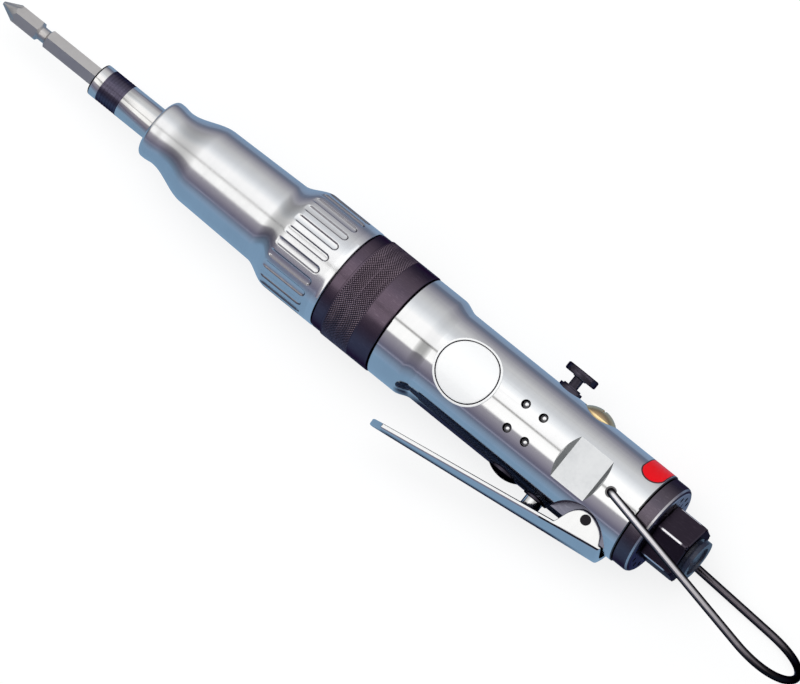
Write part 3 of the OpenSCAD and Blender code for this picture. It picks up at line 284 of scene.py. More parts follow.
# Noise seldom leaves 0.3 to 0.8: each range says where in it an effect begins and where it is
# full. Sizes of noise are in cells a metre, depths of bumps in metres, and a gloss is a pair of
# factors for the roughness.
MOTTLE_RANGE, GLOSS_RANGE = (0.35, 0.7), (0.3, 0.75)
# The painted highlight on the sharp edges of turned metal
EDGE_RANGE, PAINTED_EDGE_HIGHLIGHT, PAINTED_EDGE_TINT = (0.505, 0.56), 0.4, 1.15
RING_RANGE, RING_SHADE, RING_DEPTH = (0.3, 0.7), 0.25, 0.00003
SPECK_RANGE, SPECK_GLOSS, SPECK_GRAIN, FINE_DEPTH = (0.4, 0.8), 0.25, 0.6, 0.00002
SCUFF_RANGE, SCUFF_SHARE, SCUFF_TINT, SCUFF_STRETCH = (0.55, 0.75), 0.4, 1.5, (500, 2200, 2200)
# The painted shade on the sides of dark metal, and the paler tint of its painted highlight
PAINTED_SIDE_RANGE, PAINTED_SIDE_SHADE, PAINTED_GLINT_TINT = (0.96, 0.74), 0.12, (0.92, 0.9, 0.92)
DUST_RANGE, DUST_SHARE, PEBBLE_RANGE, SPECK_DEPTH = (0.4, 0.75), 0.5, (0.3, 0.7), 0.00003
TURNED_CLOUD, TURNED_SPECK, TURNED_GLOSS = 70.0, 900.0, (0.75, 1.3)
DARK_CLOUD, DARK_SPECK, DARK_GLOSS, DARK_MOTTLE = 110.0, 1400.0, (0.85, 1.2), 0.35
MOULDED_CLOUD, MOULDED_PEBBLE, MOULDED_GLOSS = 90.0, 1800.0, (0.85, 1.15)
DARK_MIRROR_EDGE = (0.3, 0.26, 0.3, 1)


def turned_metal(name, tint, dark, rough, grain=0.02, smudge=0.5, stretch=(900, 60, 60)):
    """Metal turned about X: fine rings round the axis, faint smudges, a painted highlight on sharp
    edges.
    """
    t = material_tree(name)
    rings = t.noise(1.0, 4.0, stretch)
    cloud = t.noise(TURNED_CLOUD, 4.0)
    specks = t.noise(TURNED_SPECK, 2.0)
    shade = t.blend(t.spread(cloud, *MOTTLE_RANGE, 0.0, smudge), tint, dark)
    shade = t.blend(t.spread(rings, *RING_RANGE, 0.0, RING_SHADE), shade, dark)
    # Painted highlight: sharp outer edges get a brighter tint
    shade = t.blend(t.math("MULTIPLY", t.edges(), PAINTED_EDGE_HIGHLIGHT), shade,
                    tuple(min(1, c * PAINTED_EDGE_TINT) for c in tint))
    roughness = t.math("ADD", t.spread(cloud, *GLOSS_RANGE, *times(rough, TURNED_GLOSS)),
                       t.spread(specks, *SPECK_RANGE, 0.0, rough * SPECK_GLOSS))
    normal = t.bump(rings, grain, RING_DEPTH)
    normal = t.bump(specks, grain * SPECK_GRAIN, FINE_DEPTH, normal)
    return t.finish(shade, 1.0, roughness, normal)


def dark_metal(name, tint, pale, rough, grain=0.05, rim=0.0, glint=None):
    """Dark metal, for blackened steel and for painted shade: a dark tint with a faint mottle. rim
    paints shade on the sides, which don't face along the piece's own Z. glint(tree) may give a
    share by which a paler metal shows through as a painted highlight."""
    t = material_tree(name)
    cloud = t.noise(DARK_CLOUD, 4.0)
    specks = t.noise(DARK_SPECK, 2.0)
    scuffs = t.noise(1.0, 5.0, SCUFF_STRETCH)
    shade = t.blend(t.spread(cloud, *MOTTLE_RANGE, 0.0, DARK_MOTTLE), tint, pale)
    shade = t.blend(t.spread(scuffs, *SCUFF_RANGE, 0.0, SCUFF_SHARE), shade,
                    times(SCUFF_TINT, pale))
    # Painted highlight: a paler metal shows through where glint says
    if glint:
        shade = t.blend(glint(t), shade, PAINTED_GLINT_TINT)
    # Painted shade: the sides darken where their normal turns away from the piece's Z
    if rim:
        facing = t.parts(t.nodes.new("ShaderNodeTexCoord").outputs["Normal"])
        away = t.spread(t.math("ABSOLUTE", facing["Z"]), *PAINTED_SIDE_RANGE, 0.0, rim)
        shade = t.blend(away, shade, times(PAINTED_SIDE_SHADE, tint))
    roughness = t.spread(cloud, *GLOSS_RANGE, *times(rough, DARK_GLOSS))
    normal = t.bump(specks, grain, SPECK_DEPTH)
    return t.finish(shade, 1.0, roughness, normal, Specular_Tint=DARK_MIRROR_EDGE)


def moulded(name, tint, pale, rough, grain=0.04, coat=0.0, shine=0.5):
    """Moulded plastic, rubber or enamel: even colour, fine pebble and a faint paler dust at random.
    """
    t = material_tree(name)
    cloud = t.noise(MOULDED_CLOUD, 3.0)
    pebble = t.noise(MOULDED_PEBBLE, 2.0)
    shade = t.blend(t.spread(cloud, *DUST_RANGE, 0.0, DUST_SHARE), tint, pale)
    roughness = t.spread(pebble, *PEBBLE_RANGE, *times(rough, MOULDED_GLOSS))
    normal = t.bump(pebble, grain, SPECK_DEPTH)
    return t.finish(shade, 0.0, roughness, normal, Coat_Weight=coat, Specular_IOR_Level=shine)


def along(t, axis, lo, hi, out_lo=0.0, out_hi=1.0):
    """Share that runs from out_lo to out_hi between two places (mm) on an axis of the part."""
    return t.spread(t.parts(t.coord)[axis], lo * MM, hi * MM, out_lo, out_hi)


def wire_painted_highlight(t):
    """Painted highlight: the bail is lighter on its upper leg, most near the tool."""
    return t.math("MULTIPLY", along(t, "X", 285.0, 225.0, 0.0, 0.85), along(t, "Z", 2.0, 12.0))


def ridge_painted_highlight(t):
    """Painted highlight: the hexagon's ridges are brightened along their middle only."""
    return t.math("MULTIPLY", along(t, "X", 235.6, 236.4), along(t, "X", 244.2, 243.4))


def painted_light_cap_side(t):
    """Painted light: the cap's rear face is lighter on the side away from the lever."""
    return along(t, "Y", 3.0, 9.0, 0.0, 0.85)


chrome = turned_metal("polished_steel", (0.80, 0.80, 0.80), (0.68, 0.68, 0.69), 0.10)
sleeve_chrome = turned_metal("chuck_sleeve_steel", (0.80, 0.79, 0.78), (0.62, 0.61, 0.60), 0.12)
satin = turned_metal("satin_aluminium", (0.81, 0.81, 0.815), (0.70, 0.70, 0.71), 0.17, 0.06)
flat_steel = turned_metal("ground_flat", (0.78, 0.79, 0.80), (0.66, 0.675, 0.69), 0.40, 0.15, 0.7,
                          (600, 80, 600))
painted_shade_in_bores = dark_metal("painted_shade_in_bores", (0.16, 0.155, 0.16), (0.24, 0.235, 0.24), 0.35)
plain_steel = turned_metal("ground_steel", (0.6, 0.6, 0.61), (0.45, 0.45, 0.46), 0.25)
bit_steel = turned_metal("bit_steel", (0.60, 0.575, 0.56), (0.48, 0.46, 0.445), 0.44, 0.08, 0.5,
                         (300, 300, 300))
worn_edge = turned_metal("worn_edge", (0.56, 0.53, 0.51), (0.46, 0.43, 0.41), 0.45)
collar_steel = dark_metal("blackened_knurled_steel", (0.115, 0.085, 0.115), (0.15, 0.115, 0.145),
                          0.24, 0.08)
painted_shade_in_grooves = dark_metal("painted_shade_in_grooves", (0.024, 0.017, 0.024), (0.04, 0.03, 0.04), 0.4)
painted_highlight_on_knurl = dark_metal("painted_highlight_on_knurl", (0.21, 0.16, 0.2), (0.3, 0.23, 0.28), 0.22)
painted_shade_in_flutes = dark_metal("painted_shade_in_flutes", (0.24, 0.23, 0.25), (0.32, 0.31, 0.33), 0.3)
painted_shade_on_shoulders = dark_metal("painted_shade_on_shoulders", (0.26, 0.27, 0.27), (0.4, 0.41, 0.41), 0.35)
painted_shade_in_pocket = dark_metal("painted_shade_in_pocket", (0.2, 0.2, 0.26), (0.32, 0.32, 0.38), 0.3)
cap_metal = dark_metal("dark_rear_cap", (0.12, 0.10, 0.125), (0.16, 0.135, 0.16), 0.27, 0.08)
painted_light_rear_face = dark_metal("painted_light_rear_face", (0.12, 0.12, 0.2), (0.16, 0.16, 0.25), 0.3, 0.08, 0.0, painted_light_cap_side)
cap_glint = dark_metal("painted_highlight_cap_corner", (0.62, 0.6, 0.62), (0.7, 0.68, 0.7), 0.25, 0.08)
inlet_metal = dark_metal("blackened_inlet", (0.04, 0.03, 0.045), (0.06, 0.047, 0.065), 0.3, 0.06)
inlet_ridge_highlight = dark_metal("painted_highlight_inlet_ridge", (0.06, 0.05, 0.07), (0.1, 0.08, 0.1), 0.25, 0.02, 0.0,
                        ridge_painted_highlight)
# The wire: blackened, with painted shade on its sides and a painted highlight on its upper leg
wire_metal = dark_metal("blackened_wire", (0.13, 0.115, 0.13), (0.19, 0.17, 0.18), 0.22, 0.08, 0.96,
                        wire_painted_highlight)
knob_black = dark_metal("gloss_black", (0.042, 0.037, 0.052), (0.11, 0.1, 0.13), 0.2, 0.3)
painted_shade_on_lever_rim = dark_metal("painted_shade_on_lever_rim", (0.035, 0.035, 0.05), (0.06, 0.06, 0.08), 0.4)
painted_shade_in_channel = dark_metal("painted_shade_in_channel", (0.13, 0.14, 0.2), (0.18, 0.19, 0.26), 0.5)
black_rubber = dark_metal("matte_black_band", (0.085, 0.075, 0.115), (0.17, 0.155, 0.2), 0.22, 0.2)
o_ring_rubber = moulded("o_ring_rubber", lin(30, 28, 32), lin(44, 42, 46), 0.5, 0.1)
plug_plastic = moulded("dust_plug_plastic", lin(26, 30, 48), lin(44, 52, 78), 0.3)
red_plastic = moulded("red_marker_gloss", lin(232, 0, 18), lin(240, 6, 28), 0.35, 0.01, 0.0, 0.15)
painted_shade_round_tab = moulded("painted_shade_round_tab", lin(70, 10, 24), lin(96, 16, 30), 0.4)
white_enamel = moulded("white_enamel", lin(250, 250, 249), lin(253, 252, 251), 0.22, 0.01, 0.5)
brass = turned_metal("turned_brass", (1.0, 0.75, 0.4), (0.76, 0.46, 0.22), 0.2, 0.05, 0.8)
bronze = turned_metal("sintered_bronze", (0.62, 0.42, 0.24), (0.4, 0.26, 0.14), 0.4, 0.2)
spring_metal = turned_metal("spring_wire", (0.5, 0.5, 0.5), (0.36, 0.36, 0.36), 0.3)
gear_metal = turned_metal("hardened_steel", (0.5, 0.5, 0.52), (0.36, 0.36, 0.38), 0.3)
iron = turned_metal("honed_iron", (0.42, 0.42, 0.43), (0.3, 0.3, 0.31), 0.35)
laminate = moulded("vane_laminate", lin(120, 84, 52), lin(140, 100, 66), 0.5)
felt = moulded("silencer_felt", lin(190, 182, 160), lin(206, 198, 176), 0.9, 0.4)
black_and_painted_shade = dark_metal("black_pin", (0.02, 0.018, 0.022), (0.035, 0.03, 0.038), 0.25)

by_slot = {
    "bit": bit_steel, "spindle": plain_steel, "polished_ball": chrome,
    "chuck_sleeve": sleeve_chrome, "black_band": black_rubber, "spring_steel": spring_metal,
    "nose_aluminium": satin, "bronze": bronze, "hardened_steel": gear_metal,
    "motor_iron": iron, "vane": laminate, "collar_steel": collar_steel,
    "handle_steel": chrome, "badge": white_enamel, "black_part": knob_black,
    "o_ring": o_ring_rubber, "brass": brass, "lever": chrome, "black_pin": black_and_painted_shade,
    "red_marker": red_plastic, "rear_cap": cap_metal, "silencer": felt, "inlet": inlet_metal,
    "dust_plug": plug_plastic, "bail": wire_metal,
}
slot_of = {s["node"]: s["material_slot"] for s in frame["record"]["subparts"]}
for name, obj in cad_nodes.items():
    obj.data.materials.clear()
    obj.data.materials.append(by_slot[slot_of[name]])
# The spool's outer end is the knob's stem, and as black as the knob
cad_nodes["reverse_spool"].data.materials[0] = knob_black


# Handle: outer skin polished, spanner flats ground, and painted shade in every bore, pocket and
# slot and on the flats' shoulders
HANDLE_FROM, FLANGE_R, FLANGE_LENGTH, CURVE_LENGTH = 128.5, 18.3, 10.5, 5.6
GRIP_OUT, FLAT_Z, FLAT_FROM, FLAT_TO = 16.7, 14.75, 197, 213
POCKET_X, POCKET_Y, POCKET_R, POCKET_TOP, POCKET_INNER = 213.9, -21.2, 12.6, -8.0, 5.0
# A face or point this near (mm) to the skin, flat, pocket or edge of a flat belongs to it
SKIN_NEAR, SMOOTH_NEAR, FLAT_NEAR, POCKET_NEAR, FLAT_EDGE_NEAR = 0.12, 0.1, 0.05, 0.1, 0.02
# Limits for the parts of a face's normal: OUTWARD, FLAT_FACING and END_FACING are least ones,
# SKIN_TILT, GRIP_TILT and SHOULDER_FACING greatest ones
OUTWARD, FLAT_FACING, END_FACING = 0.9, 0.99, 0.7
SKIN_TILT, GRIP_TILT, SHOULDER_FACING = 0.45, 0.3, 0.985
# The slopes at the ends of the flats face along X by SLOPE_X or more, and along Y by under SLOPE_Y
SLOPE_X, SLOPE_Y = 0.5, 0.05
NORMAL_STEP = 0.01


def handle_radius(x):
    t = min(1.0, max(0.0, (x - HANDLE_FROM - FLANGE_LENGTH) / CURVE_LENGTH))
    return mix(FLANGE_R, GRIP_OUT, ease(t))


def on_flat(c, n):
    return abs(n.z) > FLAT_FACING and abs(abs(c.z) - FLAT_Z) < FLAT_NEAR


def in_bore(c, n):
    near_skin = from_axis(c) > handle_radius(c.x) - SKIN_NEAR and abs(n.x) < SKIN_TILT
    outward = (c.y * n.y + c.z * n.z) / from_axis(c) > OUTWARD
    sloped = abs(c.z) > FLAT_Z and abs(n.y) < SLOPE_Y and abs(n.x) > SLOPE_X
    return not (near_skin and outward) and not on_flat(c, n) and not sloped


def on_grip_skin(c, n):
    return from_axis(c) > GRIP_OUT - SKIN_NEAR and abs(n.x) < GRIP_TILT


def on_flat_shoulder(c, n):
    beside_flat = FLAT_FROM < c.x < FLAT_TO and abs(c.z) > FLAT_Z - FLAT_EDGE_NEAR
    return beside_flat and not on_grip_skin(c, n) and abs(n.z) < SHOULDER_FACING


def in_pocket(c, n):
    """In the pocket for the lever's ears."""
    within = math.hypot(c.x - POCKET_X, c.y - POCKET_Y) < POCKET_R + POCKET_NEAR
    outer = c.y < POCKET_TOP and abs(c.z) > POCKET_INNER
    return within and outer and not on_grip_skin(c, n)


def handle_normal(v):
    """Normal of the true outer skin at v (mm)."""
    rise = handle_radius(v.x + NORMAL_STEP) - handle_radius(v.x - NORMAL_STEP)
    r = from_axis(v)
    return Vector((-rise / (2 * NORMAL_STEP), v.y / r, v.z / r)).normalized()


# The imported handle's mesh again, with the normals of the true round skin in place of those of
# its facets, so that its long facets mirror the studio in straight lines
handle_mesh = cad_nodes["handle_housing"].data.copy()
handle_mesh.name = "polished_handle"
handle = link_object("polished_handle", handle_mesh)
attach(handle, "housing")
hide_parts("handle_housing")
corner_normals = [Vector(c.vector) for c in handle_mesh.corner_normals]
for face in handle_mesh.polygons:
    centre = face.center / MM
    at_end = abs(face.normal.x) > END_FACING
    if in_bore(centre, face.normal) or on_flat(centre, face.normal) or at_end:
        continue
    for corner in face.loop_indices:
        point = handle_mesh.vertices[handle_mesh.loops[corner].vertex_index].co / MM
        if from_axis(point) > handle_radius(point.x) - SMOOTH_NEAR:
            corner_normals[corner] = handle_normal(point)
handle_mesh.normals_split_custom_set(corner_normals)
# Painted shade: every bore and slot is dark
second_material(handle, painted_shade_in_bores, in_bore)
second_material(handle, flat_steel, on_flat)
# Painted shade: the shoulders at the flats' ends are dark
second_material(handle, painted_shade_on_shoulders, on_flat_shoulder)
# Painted shade: the pocket round the lever's ears is dark
second_material(handle, painted_shade_in_pocket, in_pocket)


MOUTH_TO, MOUTH_FACING = 0.8, -0.15
CORNER_FROM, CORNER_R, CORNER_LEAST, CORNER_MOST = 232, 14.6, 0.5, 0.7
CAP_FACE_FROM, CAP_FACE_R, CAP_FACING = 234, 10, 0.95


def on_sleeve_mouth(c, n):
    return c.x < MOUTH_TO and n.x < MOUTH_FACING


def on_cap_corner(c, n):
    return c.x > CORNER_FROM and from_axis(c) > CORNER_R and CORNER_LEAST < n.x < CORNER_MOST


def on_cap_face(c, n):
    return c.x > CAP_FACE_FROM and n.x > CAP_FACING and from_axis(c) > CAP_FACE_R


# Painted shade: the sleeve's mouth is black
second_material(cad_nodes["chuck_sleeve"], black_and_painted_shade, on_sleeve_mouth)
# Painted highlight: a bright line on the cap's rear corner
second_material(cad_nodes["rear_cap"], cap_glint, on_cap_corner)
# Painted light and reflection: the cap's rear face is bluish, and lighter away from the lever
second_material(cad_nodes["rear_cap"], painted_light_rear_face, on_cap_face)

# The soft light round the valve ends leaves no mirror image of them in the polished skin
for name in ("reverse_knob", "reverse_gland", "reverse_spool"):
    cad_nodes[name].visible_glossy = False

# The two springs that a joint presses are copies of the imported coils, each attached to the
# body that carries it: node, body, joint, axis of the coil
PRESSED_SPRINGS = (("sleeve_spring", "spindle_set", "sleeve_slide", 0),
                   ("throttle_spring", "throttle_set", "throttle_stroke", 1))
for node, body, joint, axis in PRESSED_SPRINGS:
    coil = link_object(node + "_coil", cad_nodes[node].data.copy())
    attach(coil, body)
    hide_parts(node)
    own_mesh(coil)

# Edges of the machined nodes that stay are broken by a small rounding (mm); the inlet's
# rounding carries a painted highlight, the bit's a slightly darker, rougher worn metal
BROKEN_EDGES = {
    "bit": 0.3, "chuck_sleeve": 0.08, "reverse_knob": 0.15,
    "reverse_gland": 0.12, "reverse_end_cap": 0.1, "throttle_bush": 0.08,
    "throttle_plunger": 0.1, "valve_plug": 0.1, "lever_pin": 0.15,
    "inlet_bushing": 0.45, "dust_plug": 0.15,
}
WEAR_AND_HIGHLIGHT_EDGES = {"inlet_bushing": inlet_ridge_highlight, "bit": worn_edge}
# The inlet's short edges would hold its wide rounding back
UNCLAMPED = "inlet_bushing"
BROKEN_FROM = math.radians(30)
for name, width in BROKEN_EDGES.items():
    obj = cad_nodes[name]
    weld(obj)
    bevel = obj.modifiers.new("broken_edges", "BEVEL")
    bevel.width = width * MM
    bevel.segments = 2
    bevel.limit_method = "ANGLE"
    bevel.angle_limit = BROKEN_FROM
    bevel.miter_outer = "MITER_ARC"
    bevel.harden_normals = True
    bevel.use_clamp_overlap = name != UNCLAMPED
    if name in WEAR_AND_HIGHLIGHT_EDGES:
        obj.data.materials.append(WEAR_AND_HIGHLIGHT_EDGES[name])
        bevel.material = len(obj.data.materials) - 1


# Nose housing, with its flutes. Its bore is a plain one, and isn't seen.
NOSE_SIDES, NOSE_FROM, NOSE_TO, NOSE_ROUND, REAR_ROUND = 480, 25.4, 104.9, 1.5, 0.35
LIP_TO, LIP_R, WAIST_X, WAIST_R = NOSE_FROM + 2.4, 10.55, 31.2, 10.2
BARREL_FROM, BARREL_R, BARREL_TO, BARREL_REAR_R = 46.5, 14.1, 75.0, 14.8
GRIP_FROM, GRIP_R = 85.0, 18.3
FLUTES, FLUTE_W, FLUTE_DEPTH, FLUTE_TURN = 24, 2.5, 0.5, math.radians(-3)
FLUTE_FROM, FLUTE_TO, FLUTE_START = 82.6, 100.2, 1.2
# The wall of a flute begins WALL_OUT outside its edge and takes WALL_WIDTH to reach the floor,
# which is shallower by HOLLOW of the depth at the walls. Past NO_FLUTE nothing is cut.
WALL_OUT, WALL_WIDTH, HOLLOW, NO_FLUTE = 0.15, 0.5, 0.25, 0.25
# Rows close together where the flutes end, and the faces that count as a flute's wall
FINE_FROM, FINE_TO = FLUTE_TO - 2.0, FLUTE_TO + 0.6
WALL_TO, WALL_R, WALL_SIDEWAYS, WALL_ENDWAYS = FLUTE_TO + 0.5, 17.0, 0.4, 0.3


def flute_dip(x, r, turn):
    pitch = 2 * math.pi / FLUTES
    across = ((turn - FLUTE_TURN + pitch / 2) % pitch - pitch / 2) * r
    half = FLUTE_W / 2
    past_end = max(0.0, x - (FLUTE_TO - half))
    off = math.hypot(across, past_end)
    if x < FLUTE_FROM or off > half + NO_FLUTE:
        return r
    wall = min(1.0, max(0.0, (half + WALL_OUT - off) / WALL_WIDTH))
    hollow = 1 - HOLLOW * (off / half) ** 2
    start = min(1.0, (x - FLUTE_FROM) / FLUTE_START)
    dip = max(0.0, r - (GRIP_R - FLUTE_DEPTH * hollow))
    return r - dip * ease(wall) * ease(start)


# Profiles run round the section as (x, radius); the last number of each part is its steps
NOSE_MOUTH = [(NOSE_FROM, 6.2), (NOSE_FROM, 9.0)]
NOSE_BORE = [(NOSE_TO, 17.0), (NOSE_TO, 15.7), (95.5, 15.7), (95.5, 12.0), (60.0, 11.8),
             (38.0, 9.0), (37.5, 7.6), (27.0, 7.4), (26.9, 6.2)]
nose_profile = (
    NOSE_MOUTH
    + arc(NOSE_FROM + NOSE_ROUND, LIP_R - NOSE_ROUND, NOSE_ROUND, 180, 90, 8)
    + line(NOSE_FROM + NOSE_ROUND, LIP_R, LIP_TO, LIP_R, 2)
    + s_curve(LIP_TO, LIP_R, WAIST_X, WAIST_R, 8)
    + s_curve(WAIST_X, WAIST_R, BARREL_FROM, BARREL_R, 32)
    + line(BARREL_FROM, BARREL_R, BARREL_TO, BARREL_REAR_R, 10)
    + s_curve(BARREL_TO, BARREL_REAR_R, GRIP_FROM, GRIP_R, 32)
    + line(GRIP_FROM, GRIP_R, FINE_FROM, GRIP_R, 14)
    + line(FINE_FROM, GRIP_R, FINE_TO, GRIP_R, 16)
    + line(FINE_TO, GRIP_R, NOSE_TO - REAR_ROUND, GRIP_R, 3)
    + arc(NOSE_TO - REAR_ROUND, GRIP_R - REAR_ROUND, REAR_ROUND, 90, 0, 4)
    + NOSE_BORE
)
nose = mesh_piece("fluted_nose_housing", lathe(nose_profile, NOSE_SIDES, flute_dip), "housing",
                  satin)
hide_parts("nose_housing")


def on_flute_wall(c, n):
    r = from_axis(c)
    if not (FLUTE_FROM + FLUTE_START < c.x < WALL_TO and WALL_R < r < GRIP_R + SAME_R):
        return False
    sideways = abs(c.y * n.z - c.z * n.y) / r
    end_wall = c.x > FLUTE_TO - FLUTE_W / 2 and abs(n.x) > WALL_ENDWAYS
    return sideways > WALL_SIDEWAYS or end_wall


# Painted shade: the flutes' walls are dark
second_material(nose, painted_shade_in_flutes, on_flute_wall)


# Knurled collar: a low step in front, then the knurl between two plain bands
COLLAR_FROM, COLLAR_TO, COLLAR_R, COLLAR_STEP_R = 105.2, 128.2, 18.55, 18.2
COLLAR_ROUND, STEP_FROM, STEP_ROUND = 0.5, 109.1, 0.2
COLLAR_FACE_R, COLLAR_BORE_R = 17.0, 16.15
KNURL_FROM, KNURL_TO, KNURL_COUNT, KNURL_DEPTH = 109.5, 120.6, 130, 0.26
KNURL_ROWS, KNURL_POINTS, KNURL_FADE = 68, 8, 0.5
# A cell is this much longer than wide, and a groove takes this share of it on each side
CELL_LENGTH, GROOVE_SHARE = 1.05, 0.3
# Faces further out than OUTSIDE_R are on the outside. Those below GROOVE_R are in a groove, and
# the two end rows, TOP_MARGIN wide, stay plain.
OUTSIDE_R, GROOVE_R, TOP_MARGIN = 17.5, COLLAR_R - 0.55 * KNURL_DEPTH, 0.45


def knurl(x, r, turn):
    if x < KNURL_FROM or x > KNURL_TO or r < COLLAR_R - SAME_R:
        return r
    pitch = 2 * math.pi * COLLAR_R / KNURL_COUNT
    a = turn * KNURL_COUNT / (2 * math.pi)
    b = (x - KNURL_FROM) / (pitch * CELL_LENGTH)
    u, v = (a + b) % 1.0, (a - b) % 1.0
    groove = min(min(u, 1 - u), min(v, 1 - v))
    fade = min(1.0, (x - KNURL_FROM) / KNURL_FADE, (KNURL_TO - x) / KNURL_FADE)
    return r - KNURL_DEPTH * max(0.0, 1 - groove / GROOVE_SHARE) * fade


collar_profile = (
    [(COLLAR_FROM, COLLAR_BORE_R), (COLLAR_FROM, COLLAR_FACE_R)]
    + arc(COLLAR_FROM + COLLAR_ROUND, COLLAR_STEP_R - COLLAR_ROUND, COLLAR_ROUND, 180, 90, 4)
    + line(COLLAR_FROM + COLLAR_ROUND, COLLAR_STEP_R, STEP_FROM, COLLAR_STEP_R, 3)
    + arc(STEP_FROM + STEP_ROUND, COLLAR_R - STEP_ROUND, STEP_ROUND, 180, 90, 3)
    + [(KNURL_FROM - 0.1, COLLAR_R)]
    + line(KNURL_FROM, COLLAR_R, KNURL_TO, COLLAR_R, KNURL_ROWS)
    + [(KNURL_TO + 0.1, COLLAR_R), (COLLAR_TO - 1.2, COLLAR_R), (COLLAR_TO - 0.6, COLLAR_R)]
    + arc(COLLAR_TO - COLLAR_ROUND, COLLAR_R - COLLAR_ROUND, COLLAR_ROUND, 90, 0, 5)
    + [(COLLAR_TO, COLLAR_FACE_R), (COLLAR_TO, COLLAR_BORE_R)]
)
collar = mesh_piece("diamond_knurled_collar",
                    lathe(collar_profile, KNURL_COUNT * KNURL_POINTS, knurl), "collar",
                    collar_steel, 50)
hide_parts("knurled_collar")


def on_knurl_top(c, n):
    return KNURL_FROM + TOP_MARGIN < c.x < KNURL_TO - TOP_MARGIN and from_axis(c) > OUTSIDE_R


def in_knurl_groove(c, n):
    return KNURL_FROM < c.x < KNURL_TO and OUTSIDE_R < from_axis(c) < GROOVE_R


# Painted highlight on the knurl's tops and painted shade in its grooves
second_material(collar, painted_highlight_on_knurl, on_knurl_top)
second_material(collar, painted_shade_in_grooves, in_knurl_groove)


# Marker: a tab with round ends, wrapped on the grip
MARKER_X, MARKER_HALF_WIDTH, MARKER_HALF_TURN, MARKER_DEEP = 222.9, 4.35, 52.6, 0.35
MARKER_ROWS, MARKER_COLUMNS, MARKER_BORDER = 120, 36, 0.42
MARKER_REACH = GRIP_OUT * math.radians(MARKER_HALF_TURN)
MARKER_STRAIGHT = MARKER_REACH - MARKER_HALF_WIDTH


def marker_grid(out):
    """Points of the tab wrapped on the grip, row by row, at a radius."""
    rows = []
    for i in range(MARKER_ROWS + 1):
        reach = -MARKER_REACH * math.cos(math.pi * i / MARKER_ROWS)
        over = max(0.0, abs(reach) - MARKER_STRAIGHT)
        half_w = math.sqrt(max(0.0, MARKER_HALF_WIDTH ** 2 - over ** 2))
        for k in range(MARKER_COLUMNS + 1):
            x = -half_w * math.cos(math.pi * k / MARKER_COLUMNS)
            turn = math.radians(90) - reach / GRIP_OUT
            rows.append((MARKER_X + x, out * math.sin(turn), out * math.cos(turn)))
    return rows


def marker_shape():
    """The outer and inner grids, joined along their two long sides."""
    verts = marker_grid(GRIP_OUT) + marker_grid(GRIP_OUT - MARKER_DEEP)
    row = MARKER_COLUMNS + 1
    under = len(verts) // 2
    faces = []
    for i in range(MARKER_ROWS):
        for k in range(MARKER_COLUMNS):
            a = i * row + k
            faces.append((a, a + row, a + row + 1, a + 1))
            faces.append((under + a, under + a + 1, under + a + row + 1, under + a + row))
        a = i * row
        b = a + MARKER_COLUMNS
        faces.append((a, under + a, under + a + row, a + row))
        faces.append((b, b + row, under + b + row, under + b))
    return verts, faces


def on_marker_border(c, n):
    reach = abs(math.atan2(c.z, c.y)) * GRIP_OUT
    over = max(0.0, reach - MARKER_STRAIGHT)
    return math.hypot(over, c.x - MARKER_X) > MARKER_HALF_WIDTH - MARKER_BORDER


marker = mesh_piece("red_tab", marker_shape(), "housing", red_plastic, 50)
weld(marker)
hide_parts("red_marker")
# Painted shadow: a dark border round the tab
second_material(marker, painted_shade_round_tab, on_marker_border)


# Bail: a hairpin of wire. Its two ends enter the grip at BAIL_X, and it hangs out behind the
# tool. The wire leaves the hairpin's plane by LEAN, more on the badge's side.
BAIL_X, BAIL_LENGTH, WIRE_R, BEND_R, WIRE_SIDES = 217.2, 79.4, 1.35, 2.1, 20
PIVOT_FROM, PIVOT_TO = GRIP_OUT - 3.2, GRIP_OUT - 1.5
LEG_Z = GRIP_OUT + 0.35 + WIRE_R
LEG_TO = BAIL_LENGTH - LEG_Z
LEAN = (0.121, 0.073, 0.004)
BEND_STEPS, LEG_STEPS, END_STEPS = 8, 12, 48


def bail_path():
    """Middle line of the wire, from pivot to pivot."""
    leg = [(0.0, PIVOT_FROM), (0.0, PIVOT_TO)]
    for k in range(BEND_STEPS + 1):
        a = math.radians(90 * k / BEND_STEPS)
        leg.append((BEND_R * (1 - math.cos(a)), LEG_Z - BEND_R * (1 - math.sin(a))))
    leg += line(BEND_R, LEG_Z, LEG_TO, LEG_Z, LEG_STEPS)
    end = []
    for k in range(1, END_STEPS):
        a = math.radians(90 - 180 * k / END_STEPS)
        end.append((LEG_TO + LEG_Z * math.cos(a), LEG_Z * math.sin(a)))
    path = []
    for back, side in leg + end + [(p, -q) for p, q in reversed(leg)]:
        s = side / LEG_Z
        lean = LEAN[0] + LEAN[1] * s + LEAN[2] * s * s
        path.append(Vector((BAIL_X + back, -back * lean, side)))
    return path


def wire_rings(path):
    rings = []
    for i, point in enumerate(path):
        ahead = (path[min(i + 1, len(path) - 1)] - path[max(i - 1, 0)]).normalized()
        out = ahead.cross(Vector((0, 1, 0))).normalized()
        side = ahead.cross(out)
        ring = []
        for k in range(WIRE_SIDES):
            a = 2 * math.pi * k / WIRE_SIDES
            ring.append(tuple(point + WIRE_R * (math.cos(a) * out + math.sin(a) * side)))
        rings.append(ring)
    return rings


bail = mesh_piece("wire_bail", skin(wire_rings(bail_path()), closed_ends=True), "bail_body",
                  wire_metal, 60)
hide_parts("bail")


